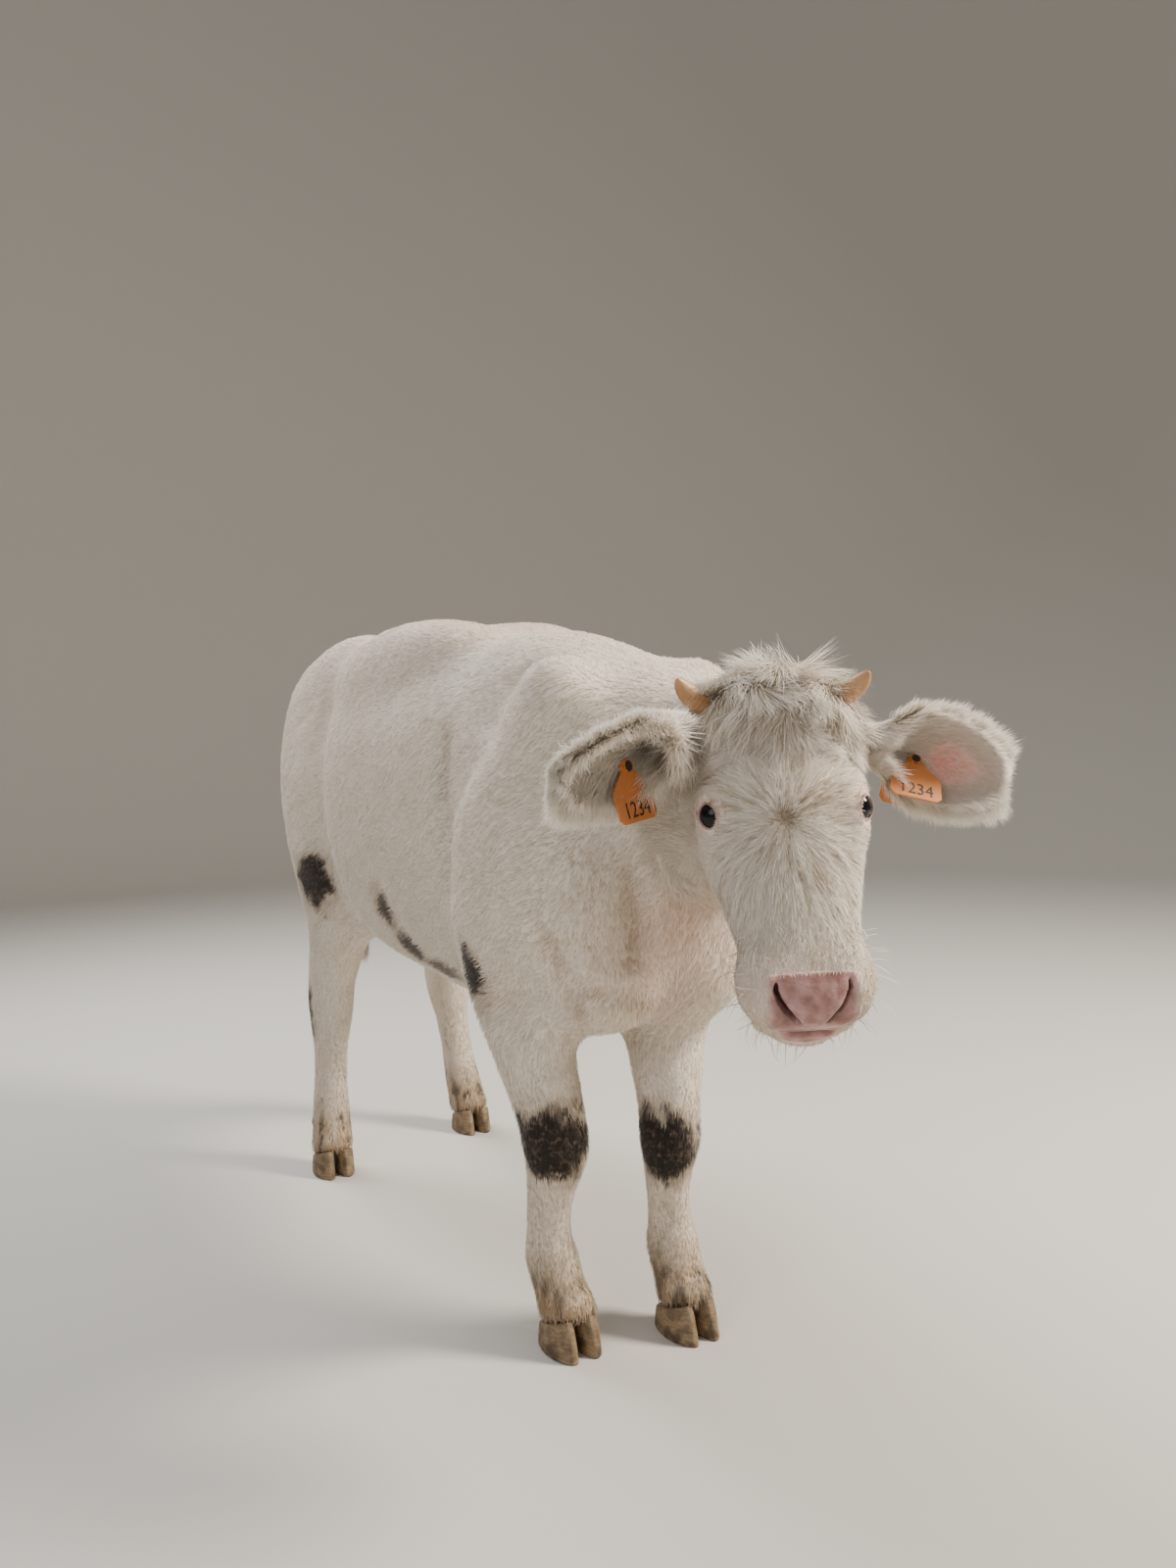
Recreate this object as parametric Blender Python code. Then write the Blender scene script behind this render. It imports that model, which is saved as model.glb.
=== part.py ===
"""A Belgian Blue calf of about six months, standing, at life size.

Metres, +Z up. The calf faces -Y and its own left side is +X. It stands square with the
left hind foot set back, the head lowered and turned a little to its right.
The flesh is one smooth form, the zero surface of a field built from lofts and ovals. It is
modelled whole and parted into head, neck, torso, legs and tail with thin flat cuts.
"""

import math
import random

import bmesh
import bpy
import numpy as np
from mathutils import Matrix, Vector

# Driving sizes
GAP = 0.0003  # between two pieces that touch
CENTRE = Vector((-0.043, 0.133, 0.0))  # moves the middle of the calf's box to the origin
SKIN_VOXEL = 0.010  # mesh size of the whole body before it is thinned
HEAD_VOXEL = 0.0042  # mesh size of the head before it is thinned

# Head: its own frame lies at the back of the skull, +Y to the muzzle, +Z to the forehead
HEAD_AT = Vector((0.077, -0.697, 0.840))
HEAD_TURN = math.radians(-25.7)  # about the vertical, to the calf's right
HEAD_DIP = math.radians(57.0)  # muzzle below the horizontal
HEAD_TILT = math.radians(3.2)
EYE_AT = (0.0810, 0.147, 0.041)
EYE_AIM = (0.78, 0.13, 0.61)  # way that the eye looks, in the head's frame
EYE_RADIUS = 0.0185
HORN_AT = (0.086, 0.010, 0.070)
HORN_AIM = (0.72, -0.28, 0.60)
HORN_LENGTH = {1: 0.033, -1: 0.039}
HORN_RADIUS = 0.0130
HORN_STUB = 0.010  # flesh collar that the horn stands on

# Ears: length along the leaf, width across it, wall of the leaf
EAR_AT = (0.086, 0.042, 0.016)
EAR_LENGTH = {1: 0.178, -1: 0.198}
EAR_WIDTH = 0.106
EAR_WALL = 0.006
EAR_STUB = 0.022
EAR_STUB_RADIUS = 0.0340
EAR_TUBE = 0.0240  # radius of the rolled root of the leaf
# Way of each leaf, the way that its hollow faces and the way its tip bends, in the head's frame
EAR_AIM = {1: (0.965, 0.11, -0.11), -1: (-0.73, 0.35, 0.59)}
EAR_OPEN = {1: (-0.05, 0.62, 0.76), -1: (0.44, 0.78, 0.26)}
EAR_DROOP = {1: (0.0, 0.5, 0.0), -1: (0.0, 0.84, -0.54)}

# Feet: middle of the coronet of each, and the claws below it
HOOF_TOP = 0.052  # height of the coronet at the toe
HOOF_SLOPE = math.radians(17)  # the coronet falls towards the heel
FEET = {
    "front_right": (-0.098, -0.462),
    "front_left": (0.064, -0.508),
    "hind_right": (-0.170, 0.385),
    "hind_left": (0.166, 0.480),
}

# Claws: half width and half length of one sole, the gap between two, half depth of the coronet
CLAW_WIDE = 0.0182
CLAW_LONG = 0.0455
CLAW_SHIFT = -0.007
CLEFT = 0.0045
CORONET_DEPTH = 0.039

# Torso, from chest to rump: place along the body, top, bottom, half width, squareness
TORSO = (
    (-0.575, 0.840, 0.480, 0.118, 2.1),
    (-0.520, 0.900, 0.440, 0.165, 2.2),
    (-0.420, 0.945, 0.424, 0.190, 2.3),
    (-0.300, 0.985, 0.420, 0.205, 2.3),
    (-0.150, 1.010, 0.424, 0.222, 2.3),
    (0.000, 1.028, 0.430, 0.233, 2.3),
    (0.100, 1.040, 0.436, 0.234, 2.3),
    (0.200, 1.044, 0.448, 0.222, 2.3),
    (0.290, 1.046, 0.476, 0.203, 2.3),
    (0.400, 1.054, 0.530, 0.180, 2.2),
    (0.500, 1.046, 0.620, 0.150, 2.1),
)

# Neck, from between the shoulders to the skull: centre, half width, half depth
NECK = (
    ((0.000, -0.340, 0.735), 0.165, 0.235),
    ((0.006, -0.440, 0.745), 0.148, 0.205),
    ((0.022, -0.540, 0.757), 0.122, 0.165),
    ((0.046, -0.630, 0.775), 0.102, 0.130),
    ((0.070, -0.700, 0.800), 0.092, 0.105),
)

# Skull and jaw in the head's frame: place, top, bottom, half width, squareness
HEAD = (
    (0.000, 0.066, -0.085, 0.084, 2.3),
    (0.040, 0.086, -0.108, 0.096, 2.4),
    (0.090, 0.090, -0.112, 0.099, 2.4),
    (0.140, 0.084, -0.104, 0.100, 2.4),
    (0.190, 0.072, -0.088, 0.090, 2.4),
    (0.240, 0.060, -0.075, 0.078, 2.4),
    (0.290, 0.052, -0.062, 0.068, 2.4),
    (0.325, 0.045, -0.056, 0.068, 2.4),
    (0.350, 0.034, -0.051, 0.062, 2.4),
    (0.372, 0.016, -0.044, 0.050, 2.3),
)

# Legs from the body down: centre, half width, half depth, in metres above the floor
FRONT_RIGHT = (
    ((-0.148, -0.420, 0.600), 0.0720, 0.1120),
    ((-0.136, -0.400, 0.510), 0.0640, 0.0920),
    ((-0.126, -0.418, 0.430), 0.0550, 0.0740),
    ((-0.117, -0.435, 0.370), 0.0500, 0.0620),
    ((-0.108, -0.446, 0.315), 0.0460, 0.0510),
    ((-0.104, -0.450, 0.272), 0.0450, 0.0490),
    ((-0.106, -0.442, 0.232), 0.0360, 0.0410),
    ((-0.110, -0.437, 0.190), 0.0305, 0.0340),
    ((-0.110, -0.434, 0.150), 0.0305, 0.0340),
    ((-0.108, -0.437, 0.118), 0.0370, 0.0400),
    ((-0.104, -0.448, 0.086), 0.0350, 0.0370),
    ((-0.098, -0.462, 0.050), 0.0380, 0.0400),
    ((-0.097, -0.466, 0.030), 0.0380, 0.0400),
)
FRONT_LEFT = (
    ((0.118, -0.430, 0.600), 0.0720, 0.1120),
    ((0.100, -0.420, 0.510), 0.0630, 0.0910),
    ((0.080, -0.448, 0.430), 0.0550, 0.0730),
    ((0.066, -0.472, 0.370), 0.0480, 0.0600),
    ((0.056, -0.490, 0.315), 0.0425, 0.0480),
    ((0.052, -0.496, 0.270), 0.0415, 0.0465),
    ((0.052, -0.490, 0.230), 0.0340, 0.0385),
    ((0.054, -0.485, 0.188), 0.0295, 0.0330),
    ((0.058, -0.482, 0.150), 0.0300, 0.0335),
    ((0.060, -0.484, 0.118), 0.0370, 0.0400),
    ((0.062, -0.494, 0.086), 0.0350, 0.0370),
    ((0.064, -0.508, 0.050), 0.0380, 0.0400),
    ((0.065, -0.512, 0.030), 0.0380, 0.0400),
)
HIND_RIGHT = (
    ((-0.142, 0.315, 0.620), 0.0820, 0.1220),
    ((-0.148, 0.345, 0.540), 0.0640, 0.0960),
    ((-0.148, 0.388, 0.460), 0.0520, 0.0780),
    ((-0.146, 0.426, 0.405), 0.0450, 0.0720),
    ((-0.145, 0.444, 0.362), 0.0430, 0.0680),
    ((-0.147, 0.444, 0.310), 0.0420, 0.0620),
    ((-0.152, 0.436, 0.240), 0.0335, 0.0430),
    ((-0.156, 0.428, 0.185), 0.0315, 0.0390),
    ((-0.159, 0.422, 0.140), 0.0340, 0.0400),
    ((-0.163, 0.408, 0.098), 0.0370, 0.0410),
    ((-0.169, 0.388, 0.052), 0.0380, 0.0400),
    ((-0.170, 0.384, 0.030), 0.0380, 0.0400),
)
HIND_LEFT = (
    ((0.140, 0.355, 0.620), 0.0820, 0.1220),
    ((0.142, 0.412, 0.540), 0.0640, 0.0960),
    ((0.140, 0.470, 0.460), 0.0520, 0.0780),
    ((0.138, 0.514, 0.405), 0.0450, 0.0720),
    ((0.139, 0.534, 0.362), 0.0430, 0.0680),
    ((0.142, 0.536, 0.310), 0.0420, 0.0620),
    ((0.149, 0.529, 0.240), 0.0335, 0.0430),
    ((0.154, 0.521, 0.185), 0.0315, 0.0390),
    ((0.158, 0.515, 0.140), 0.0340, 0.0400),
    ((0.161, 0.502, 0.098), 0.0370, 0.0410),
    ((0.165, 0.484, 0.052), 0.0380, 0.0400),
    ((0.166, 0.480, 0.030), 0.0380, 0.0400),
)

# Tail: rooted in the top of the rump, hangs behind the thighs, centre and radius
TAIL = (
    ((0.000, 0.545, 0.990), 0.030),
    ((0.000, 0.592, 0.972), 0.030),
    ((0.000, 0.622, 0.925), 0.0260),
    ((0.000, 0.634, 0.860), 0.0215),
    ((-0.002, 0.640, 0.770), 0.0170),
    ((-0.006, 0.641, 0.680), 0.0140),
    ((-0.010, 0.640, 0.590), 0.0125),
    ((-0.014, 0.637, 0.510), 0.0150),
    ((-0.016, 0.634, 0.445), 0.0195),
    ((-0.018, 0.633, 0.385), 0.0150),
    ((-0.019, 0.633, 0.352), 0.0050),
)
DOCK = ((0.0, 0.500, 1.000), (0.040, 0.100, 0.046), -14, 0.040)

# Muscles and bones as ovals on both sides: centre, half sizes, lean about the X axis, blend
MUSCLES = (
    ((0.112, -0.480, 0.815), (0.072, 0.085, 0.130), 18, 0.040),
    ((0.150, -0.440, 0.680), (0.076, 0.105, 0.145), 0, 0.045),
    ((0.128, -0.545, 0.640), (0.082, 0.075, 0.120), 0, 0.045),
    ((0.070, -0.520, 0.520), (0.075, 0.090, 0.080), 0, 0.045),
    ((0.088, 0.400, 0.930), (0.098, 0.200, 0.122), -6, 0.050),
    ((0.120, 0.480, 0.800), (0.098, 0.135, 0.200), -8, 0.045),
    ((0.142, 0.385, 0.700), (0.090, 0.165, 0.210), 0, 0.045),
    ((0.090, 0.070, 0.960), (0.100, 0.260, 0.080), -3, 0.050),
)
SHEATH = ((0.0, 0.060, 0.436), (0.034, 0.110, 0.034), 0, 0.060)

# The same kind of forms on the head, in its frame
FACE = (
    ((0.079, 0.144, 0.040), (0.0235, 0.034, 0.0235), 0, 0.020),
    ((0.060, 0.060, -0.050), (0.042, 0.075, 0.060), 0, 0.028),
    ((0.044, 0.338, -0.004), (0.031, 0.044, 0.040), 0, 0.020),
)
FACE_MIDDLE = (
    ((0.0, 0.010, 0.066), (0.082, 0.050, 0.040), 0, 0.030),
    ((0.0, 0.342, -0.050), (0.047, 0.048, 0.021), 0, 0.014),
    ((0.0, 0.358, 0.008), (0.042, 0.034, 0.030), 0, 0.012),
)


def head_matrix():
    """The head's own frame, placed on the body."""
    axis = Vector((0.0, -math.cos(HEAD_DIP), -math.sin(HEAD_DIP)))
    crown = Vector((0.0, -math.sin(HEAD_DIP), math.cos(HEAD_DIP)))
    side = Vector((1.0, 0.0, 0.0))
    turn = Matrix.Rotation(HEAD_TURN, 3, "Z")
    tilt_c, tilt_s = math.cos(HEAD_TILT), math.sin(HEAD_TILT)
    columns = (
        turn @ (side * tilt_c + crown * tilt_s),
        turn @ axis,
        turn @ (crown * tilt_c - side * tilt_s),
    )
    matrix = Matrix(columns).transposed().to_4x4()
    matrix.translation = HEAD_AT
    return matrix


HEAD_FRAME = head_matrix()


# Field of the flesh

def smooth_curve(values, steps):
    """Rows of numbers carried on a Catmull-Rom curve through every row."""
    rows = np.asarray(values, float)
    ends = np.vstack([2 * rows[0] - rows[1], rows, 2 * rows[-1] - rows[-2]])
    out = []
    for i in range(1, len(ends) - 2):
        p0, p1, p2, p3 = ends[i - 1 : i + 3]
        for s in range(steps):
            t = s / steps
            out.append(
                0.5
                * (
                    2 * p1
                    + (p2 - p0) * t
                    + (2 * p0 - 5 * p1 + 4 * p2 - p3) * t * t
                    + (3 * p1 - 3 * p2 + p3 - p0) * t * t * t
                )
            )
    out.append(rows[-1])
    return np.array(out)


class Loft:
    """A body swept along a curve: centre, half width, half depth and squareness at each station."""

    def __init__(self, stations, up, blend, cap=0.5, steps=3, reach=0.09):
        rows = [(*centre, wide, deep, square) for centre, wide, deep, square in stations]
        self.rows = smooth_curve(rows, steps)
        self.up = np.asarray(up, float)
        self.blend = blend
        self.cap = cap
        self.reach = reach

    def box(self):
        radius = self.rows[:, 3:5].max(axis=1)[:, None]
        low = (self.rows[:, :3] - radius).min(axis=0) - self.reach
        high = (self.rows[:, :3] + radius).max(axis=0) + self.reach
        return low, high

    def distance(self, points):
        best = np.full(len(points), self.reach)
        for a, b in zip(self.rows[:-1], self.rows[1:]):
            along = b[:3] - a[:3]
            length = np.linalg.norm(along)
            way = along / length
            side = np.cross(self.up, way)
            side /= np.linalg.norm(side)
            rise = np.cross(way, side)
            near = max(a[3:5].max(), b[3:5].max()) + self.reach
            middle = (a[:3] + b[:3]) / 2
            pick = np.nonzero(((points - middle) ** 2).sum(axis=1) < (near + length) ** 2)[0]
            if not len(pick):
                continue
            offset = points[pick] - a[:3]
            t = np.clip(offset @ way / length, 0.0, 1.0)
            offset = offset - t[:, None] * along
            wide = a[3] + (b[3] - a[3]) * t
            deep = a[4] + (b[4] - a[4]) * t
            power = a[5] + (b[5] - a[5]) * t
            least = np.minimum(wide, deep)
            size = (
                np.abs(offset @ side / wide) ** power
                + np.abs(offset @ rise / deep) ** power
                + np.abs(offset @ way / (least * self.cap)) ** power
            ) ** (1.0 / power)
            best[pick] = np.minimum(best[pick], (size - 1.0) * least)
        return best

    def seeds(self):
        for row in self.rows:
            yield Vector(row[:3]), 0.9 * min(row[3], row[4])


class Oval:
    """An ellipsoid, leant about X, in a frame."""

    def __init__(self, centre, half, lean, blend, frame=None, reach=0.09):
        turn = Matrix.Rotation(math.radians(lean), 4, "X")
        self.matrix = (frame or Matrix()) @ Matrix.Translation(centre) @ turn
        self.half = np.asarray(half, float)
        self.blend = blend
        self.reach = reach

    def box(self):
        middle = np.array(self.matrix.translation)
        reach = self.half.max() + self.reach
        return middle - reach, middle + reach

    def distance(self, points):
        turn = np.array(self.matrix.to_3x3())
        local = (points - np.array(self.matrix.translation)) @ turn
        scaled = local / self.half
        size = np.linalg.norm(scaled, axis=1)
        slope = np.linalg.norm(scaled / self.half, axis=1)
        return size * (size - 1.0) / np.maximum(slope, 1e-6)

    def seeds(self):
        yield self.matrix, self.half * 0.95


class Groove:
    """A furrow (depth above zero) or a ridge (below zero) along a line on the surface."""

    def __init__(self, line, width, depth, frame=None, fade=0.0):
        matrix = frame or Matrix()
        self.line = np.array([tuple(matrix @ Vector(point)) for point in line])
        self.width = width
        self.depth = depth
        self.fade = fade

    def raise_by(self, points):
        low = self.line.min(axis=0) - 3 * self.width
        high = self.line.max(axis=0) + 3 * self.width
        pick = np.nonzero(((points > low) & (points < high)).all(axis=1))[0]
        best = np.full(len(pick), 1.0)
        place = np.zeros(len(pick))
        for i, (a, b) in enumerate(zip(self.line[:-1], self.line[1:])):
            along = b - a
            offset = points[pick] - a
            t = np.clip(offset @ along / (along @ along), 0.0, 1.0)
            span = np.linalg.norm(offset - t[:, None] * along, axis=1)
            place = np.where(span < best, (i + t) / (len(self.line) - 1), place)
            best = np.minimum(best, span)
        out = np.zeros(len(points))
        strength = self.depth * (1 - self.fade * place**2)
        out[pick] = strength * np.exp(-((best / self.width) ** 2))
        return out


def mirrored(point):
    return (-point[0], *point[1:])


def both_sides(rows, frame=None):
    for centre, half, lean, blend in rows:
        yield Oval(centre, half, lean, blend, frame)
        yield Oval(mirrored(centre), half, lean, blend, frame)


def profile_loft(rows, frame, blend, sign):
    """A loft whose path lies on the middle plane: rows of place, top, bottom, half width, squareness."""
    stations = []
    for place, top, bottom, wide, square in rows:
        centre = frame @ Vector((0.0, place, (top + bottom) / 2))
        stations.append((tuple(centre), wide, (top - bottom) / 2, square))
    up = frame.to_3x3() @ Vector((0.0, 0.0, sign))
    return Loft(stations, up, blend)


def leg_loft(stations):
    rows = [(centre, wide, deep, 2.15) for centre, wide, deep in stations]
    return Loft(rows, (0.0, 1.0, 0.0), 0.045, reach=0.07)


def stub(frame, start, aim, radius, length, blend):
    """A short round stem of flesh that a horn or an ear stands on."""
    first = frame @ Vector(start)
    way = (frame.to_3x3() @ Vector(aim)).normalized()
    rows = []
    for share in (-0.6, 0.4, 1.4):
        rows.append((tuple(first + way * length * share), radius, radius, 2.0))
    return Loft(rows, (0.0, 0.0, 1.0), blend, steps=1, reach=0.05)


def curve_on_sphere(centre, radius, axis, half_wide, half_high, start, stop, count):
    """Points of an almond-shaped lid line on the eyeball, in the head's frame."""
    out = Vector(axis).normalized()
    across = (Vector((0.0, 1.0, 0.0)) - out * out.y).normalized()
    high = out.cross(across)
    if high.z < 0:
        high = -high
    points = []
    for i in range(count):
        angle = start + (stop - start) * i / (count - 1)
        place = across * math.cos(angle) * half_wide + high * math.sin(angle) * half_high
        points.append(tuple(Vector(centre) + (out * radius + place).normalized() * radius))
    return points


def face_grooves():
    """Furrows and ridges of the face: lids, nostrils, mouth, folds of the muzzle."""
    grooves = []
    for sign in (1, -1):
        eye = (EYE_AT[0] * sign, EYE_AT[1], EYE_AT[2])
        aim = (EYE_AIM[0] * sign, *EYE_AIM[1:])
        shell = EYE_RADIUS + 0.0015
        upper = curve_on_sphere(eye, shell, aim, 0.0150, 0.0125, 0.0, math.pi, 9)
        lower = curve_on_sphere(eye, shell, aim, 0.0150, 0.0110, math.pi, 2 * math.pi, 9)
        middle = curve_on_sphere(eye, shell, aim, 0.0070, 0.001, 0.0, math.pi, 3)
        grooves.append(Groove(middle, 0.0105, 0.0125, HEAD_FRAME))
        grooves.append(Groove(upper, 0.0042, -0.0050, HEAD_FRAME))
        grooves.append(Groove(lower, 0.0036, -0.0032, HEAD_FRAME))
        nostril = ((0.019, 0.389, 0.004), (0.029, 0.384, 0.012), (0.036, 0.372, 0.022),
                   (0.037, 0.362, 0.030))
        line = [(x * sign, y, z) for x, y, z in nostril]
        grooves.append(Groove(line, 0.0078, 0.0125, HEAD_FRAME, 0.85))
        rim = ((0.022, 0.376, 0.030), (0.030, 0.358, 0.041), (0.043, 0.346, 0.040),
               (0.051, 0.358, 0.024), (0.048, 0.372, 0.006))
        line = [(x * sign, y, z) for x, y, z in rim]
        grooves.append(Groove(line, 0.0065, -0.0030, HEAD_FRAME))
    mouth = []
    for i in range(13):
        angle = math.pi * i / 12
        mouth.append((0.060 * math.cos(angle), 0.314 + 0.080 * math.sin(angle), -0.026))
    grooves.append(Groove(mouth, 0.0046, 0.0060, HEAD_FRAME))
    return grooves


def body_grooves():
    """Furrows between the muscle groups, on both sides."""
    lines = (
        (((0.115, -0.425, 0.925), (0.185, -0.440, 0.840), (0.212, -0.385, 0.770),
          (0.218, -0.335, 0.690), (0.205, -0.340, 0.610), (0.180, -0.360, 0.550)), 0.024, 0.012),
        (((0.10, -0.620, 0.700), (0.15, -0.585, 0.780), (0.13, -0.56, 0.860)), 0.026, 0.009),
        (((0.150, 0.275, 0.960), (0.200, 0.262, 0.860), (0.215, 0.235, 0.740),
          (0.200, 0.205, 0.620), (0.170, 0.190, 0.540)), 0.036, 0.007),
        (((0.00, 0.300, 1.055), (0.06, 0.285, 1.050), (0.12, 0.270, 1.010)), 0.030, 0.009),
        (((0.165, 0.545, 0.930), (0.190, 0.500, 0.800), (0.180, 0.470, 0.660)), 0.022, 0.006),
    )
    grooves = []
    for line, width, depth in lines:
        grooves.append(Groove(line, width, depth))
        grooves.append(Groove([mirrored(point) for point in line], width, depth))
    middle = [(0.0, y, z) for y, z in ((0.18, 1.05), (0.36, 1.07), (0.48, 1.07), (0.56, 1.04))]
    grooves.append(Groove(middle, 0.026, 0.010))
    cleft = [(0.0, y, z) for y, z in ((0.62, 0.88), (0.60, 0.78), (0.56, 0.68), (0.52, 0.60))]
    grooves.append(Groove(cleft, 0.034, 0.016))
    return grooves


def flesh_forms():
    upright = Matrix()
    forms = [profile_loft(TORSO, upright, 0.0, 1.0)]
    neck = [(centre, wide, deep, 2.1) for centre, wide, deep in NECK]
    forms.append(Loft(neck, (0.0, 0.0, 1.0), 0.060))
    forms.extend(both_sides(MUSCLES))
    forms.append(Oval(*SHEATH))
    for stations in (FRONT_RIGHT, FRONT_LEFT, HIND_RIGHT, HIND_LEFT):
        forms.append(leg_loft(stations))
    forms.append(profile_loft(HEAD, HEAD_FRAME, 0.035, 1.0))
    forms.extend(both_sides(FACE, HEAD_FRAME))
    forms.extend(Oval(*row, frame=HEAD_FRAME) for row in FACE_MIDDLE)
    for sign in (1, -1):
        at, aim = HORN_AT, HORN_AIM
        start, way = (at[0] * sign, *at[1:]), (aim[0] * sign, *aim[1:])
        forms.append(stub(HEAD_FRAME, start, way, HORN_RADIUS + 0.006, HORN_STUB, 0.012))
        start = (EAR_AT[0] * sign, *EAR_AT[1:])
        forms.append(stub(HEAD_FRAME, start, EAR_AIM[sign], EAR_STUB_RADIUS, EAR_STUB, 0.022))
    forms.append(Oval(*DOCK))
    return forms


FORMS = flesh_forms()
GROOVES = body_grooves() + face_grooves()


def flesh_field(points):
    """Signed distance to the skin, roughly: below zero inside."""
    total = np.full(len(points), 0.2)
    for form in FORMS:
        low, high = form.box()
        pick = np.nonzero(((points > low) & (points < high)).all(axis=1))[0]
        if not len(pick):
            continue
        here = form.distance(points[pick])
        if form.blend:
            share = np.clip(0.5 + 0.5 * (total[pick] - here) / form.blend, 0.0, 1.0)
            mixed = total[pick] * (1 - share) + here * share
            total[pick] = mixed - form.blend * share * (1 - share)
        else:
            total[pick] = np.minimum(total[pick], here)
    for groove in GROOVES:
        total += groove.raise_by(points)
    return total


# Meshes

def new_object(name, mesh):
    obj = bpy.data.objects.new(name, mesh)
    bpy.context.scene.collection.objects.link(obj)
    return obj


def mesh_from_bmesh(name, bm):
    mesh = bpy.data.meshes.new(name)
    bm.to_mesh(mesh)
    bm.free()
    return mesh


def applied(obj, kind, **settings):
    """Applies one modifier of this kind and returns the object."""
    modifier = obj.modifiers.new(kind.title(), kind)
    for key, value in settings.items():
        setattr(modifier, key, value)
    graph = bpy.context.evaluated_depsgraph_get()
    mesh = bpy.data.meshes.new_from_object(obj.evaluated_get(graph))
    obj.modifiers.remove(modifier)
    old = obj.data
    obj.data = mesh
    bpy.data.meshes.remove(old)
    return obj


def vertex_places(mesh):
    places = np.empty(len(mesh.vertices) * 3, np.float32)
    mesh.vertices.foreach_get("co", places)
    return places.reshape(-1, 3).astype(float)


def set_vertex_places(mesh, places):
    mesh.vertices.foreach_set("co", places.astype(np.float32).ravel())
    mesh.update()


def vertex_normals(mesh):
    normals = np.empty(len(mesh.vertices) * 3, np.float32)
    mesh.vertex_normals.foreach_get("vector", normals)
    return normals.reshape(-1, 3).astype(float)


def smoothed(mesh, places, share):
    """Each vertex moved a share of the way to the mean of its neighbours."""
    edges = np.empty(len(mesh.edges) * 2, np.int32)
    mesh.edges.foreach_get("vertices", edges)
    edges = edges.reshape(-1, 2)
    total = np.zeros_like(places)
    count = np.zeros(len(places))
    for a, b in ((0, 1), (1, 0)):
        np.add.at(total, edges[:, a], places[edges[:, b]])
        np.add.at(count, edges[:, a], 1)
    return places + share * (total / count[:, None] - places)


def settle_on_field(obj, rounds, share):
    """Moves the mesh onto the zero surface of the field, evening it out on the way."""
    for _ in range(rounds):
        places = smoothed(obj.data, vertex_places(obj.data), share)
        set_vertex_places(obj.data, places)
        step = np.clip(flesh_field(places), -0.02, 0.02)
        set_vertex_places(obj.data, places - vertex_normals(obj.data) * step[:, None])
    return obj


def seed_mesh():
    """A rough lump of overlapping balls inside the whole flesh."""
    bm = bmesh.new()
    for form in FORMS:
        if isinstance(form, Oval):
            for matrix, half in form.seeds():
                size = matrix @ Matrix.Diagonal((*half, 1.0))
                bmesh.ops.create_icosphere(bm, subdivisions=3, radius=1.0, matrix=size)
            continue
        for centre, radius in form.seeds():
            place = Matrix.Translation(centre)
            bmesh.ops.create_icosphere(bm, subdivisions=2, radius=radius, matrix=place)
    return mesh_from_bmesh("flesh", bm)


def whole_flesh():
    flesh = new_object("flesh", seed_mesh())
    applied(flesh, "REMESH", mode="VOXEL", voxel_size=SKIN_VOXEL, adaptivity=0.0)
    settle_on_field(flesh, 6, 0.5)
    applied(flesh, "REMESH", mode="VOXEL", voxel_size=SKIN_VOXEL, adaptivity=0.0)
    settle_on_field(flesh, 4, 0.35)
    return largest_shell(flesh)


def plane_frame(point, normal):
    """A frame at a point, its Z along the normal."""
    turn = Vector((0.0, 0.0, 1.0)).rotation_difference(Vector(normal))
    return Matrix.Translation(point) @ turn.to_matrix().to_4x4()


def sliced(mesh, point, normal, cap):
    """Cuts the mesh with a plane, keeps what lies behind the normal, and closes the cut."""
    bm = bmesh.new()
    bm.from_mesh(mesh)
    way = Vector(normal).normalized()
    bmesh.ops.bisect_plane(
        bm,
        geom=bm.verts[:] + bm.edges[:] + bm.faces[:],
        dist=1e-6,
        plane_co=Vector(point),
        plane_no=way,
        clear_outer=True,
    )
    if cap:
        rim = [edge for edge in bm.edges if edge.is_boundary]
        made = bmesh.ops.edgeloop_fill(bm, edges=rim)
        bmesh.ops.triangulate(bm, faces=made["faces"])
        bmesh.ops.recalc_face_normals(bm, faces=bm.faces[:])
    bm.to_mesh(mesh)
    bm.free()


def shells(bm):
    """The groups of faces that hang together by plain edges, the largest first."""
    left = set(bm.faces)
    groups = []
    while left:
        stack = [left.pop()]
        group = list(stack)
        while stack:
            for edge in stack.pop().edges:
                pair = edge.link_faces if len(edge.link_faces) == 2 else ()
                for face in pair:
                    if face in left:
                        left.remove(face)
                        stack.append(face)
                        group.append(face)
        groups.append(group)
    return sorted(groups, key=len, reverse=True)


def largest_shell(obj):
    """Keeps the largest closed surface and drops loose scraps."""
    bm = bmesh.new()
    bm.from_mesh(obj.data)
    for group in shells(bm)[1:]:
        bmesh.ops.delete(bm, geom=group, context="FACES")
    bmesh.ops.triangulate(bm, faces=bm.faces[:])
    bm.to_mesh(obj.data)
    bm.free()
    return obj


def shell_nearest(obj, place):
    """Keeps the closed surface whose nearest vertex to the place is nearest of all."""
    bm = bmesh.new()
    bm.from_mesh(obj.data)
    groups = shells(bm)
    spans = [min((face.verts[0].co - place).length for face in group) for group in groups]
    for group, span in zip(groups, spans):
        if span > min(spans):
            bmesh.ops.delete(bm, geom=group, context="FACES")
    bm.to_mesh(obj.data)
    bm.free()
    return obj


def cut_away(obj, cutter, operation="DIFFERENCE"):
    """Boolean with one closed mesh, which is removed afterwards."""
    applied(obj, "BOOLEAN", operation=operation, object=cutter, solver="EXACT")
    bpy.data.objects.remove(cutter, do_unlink=True)
    return obj


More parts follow.
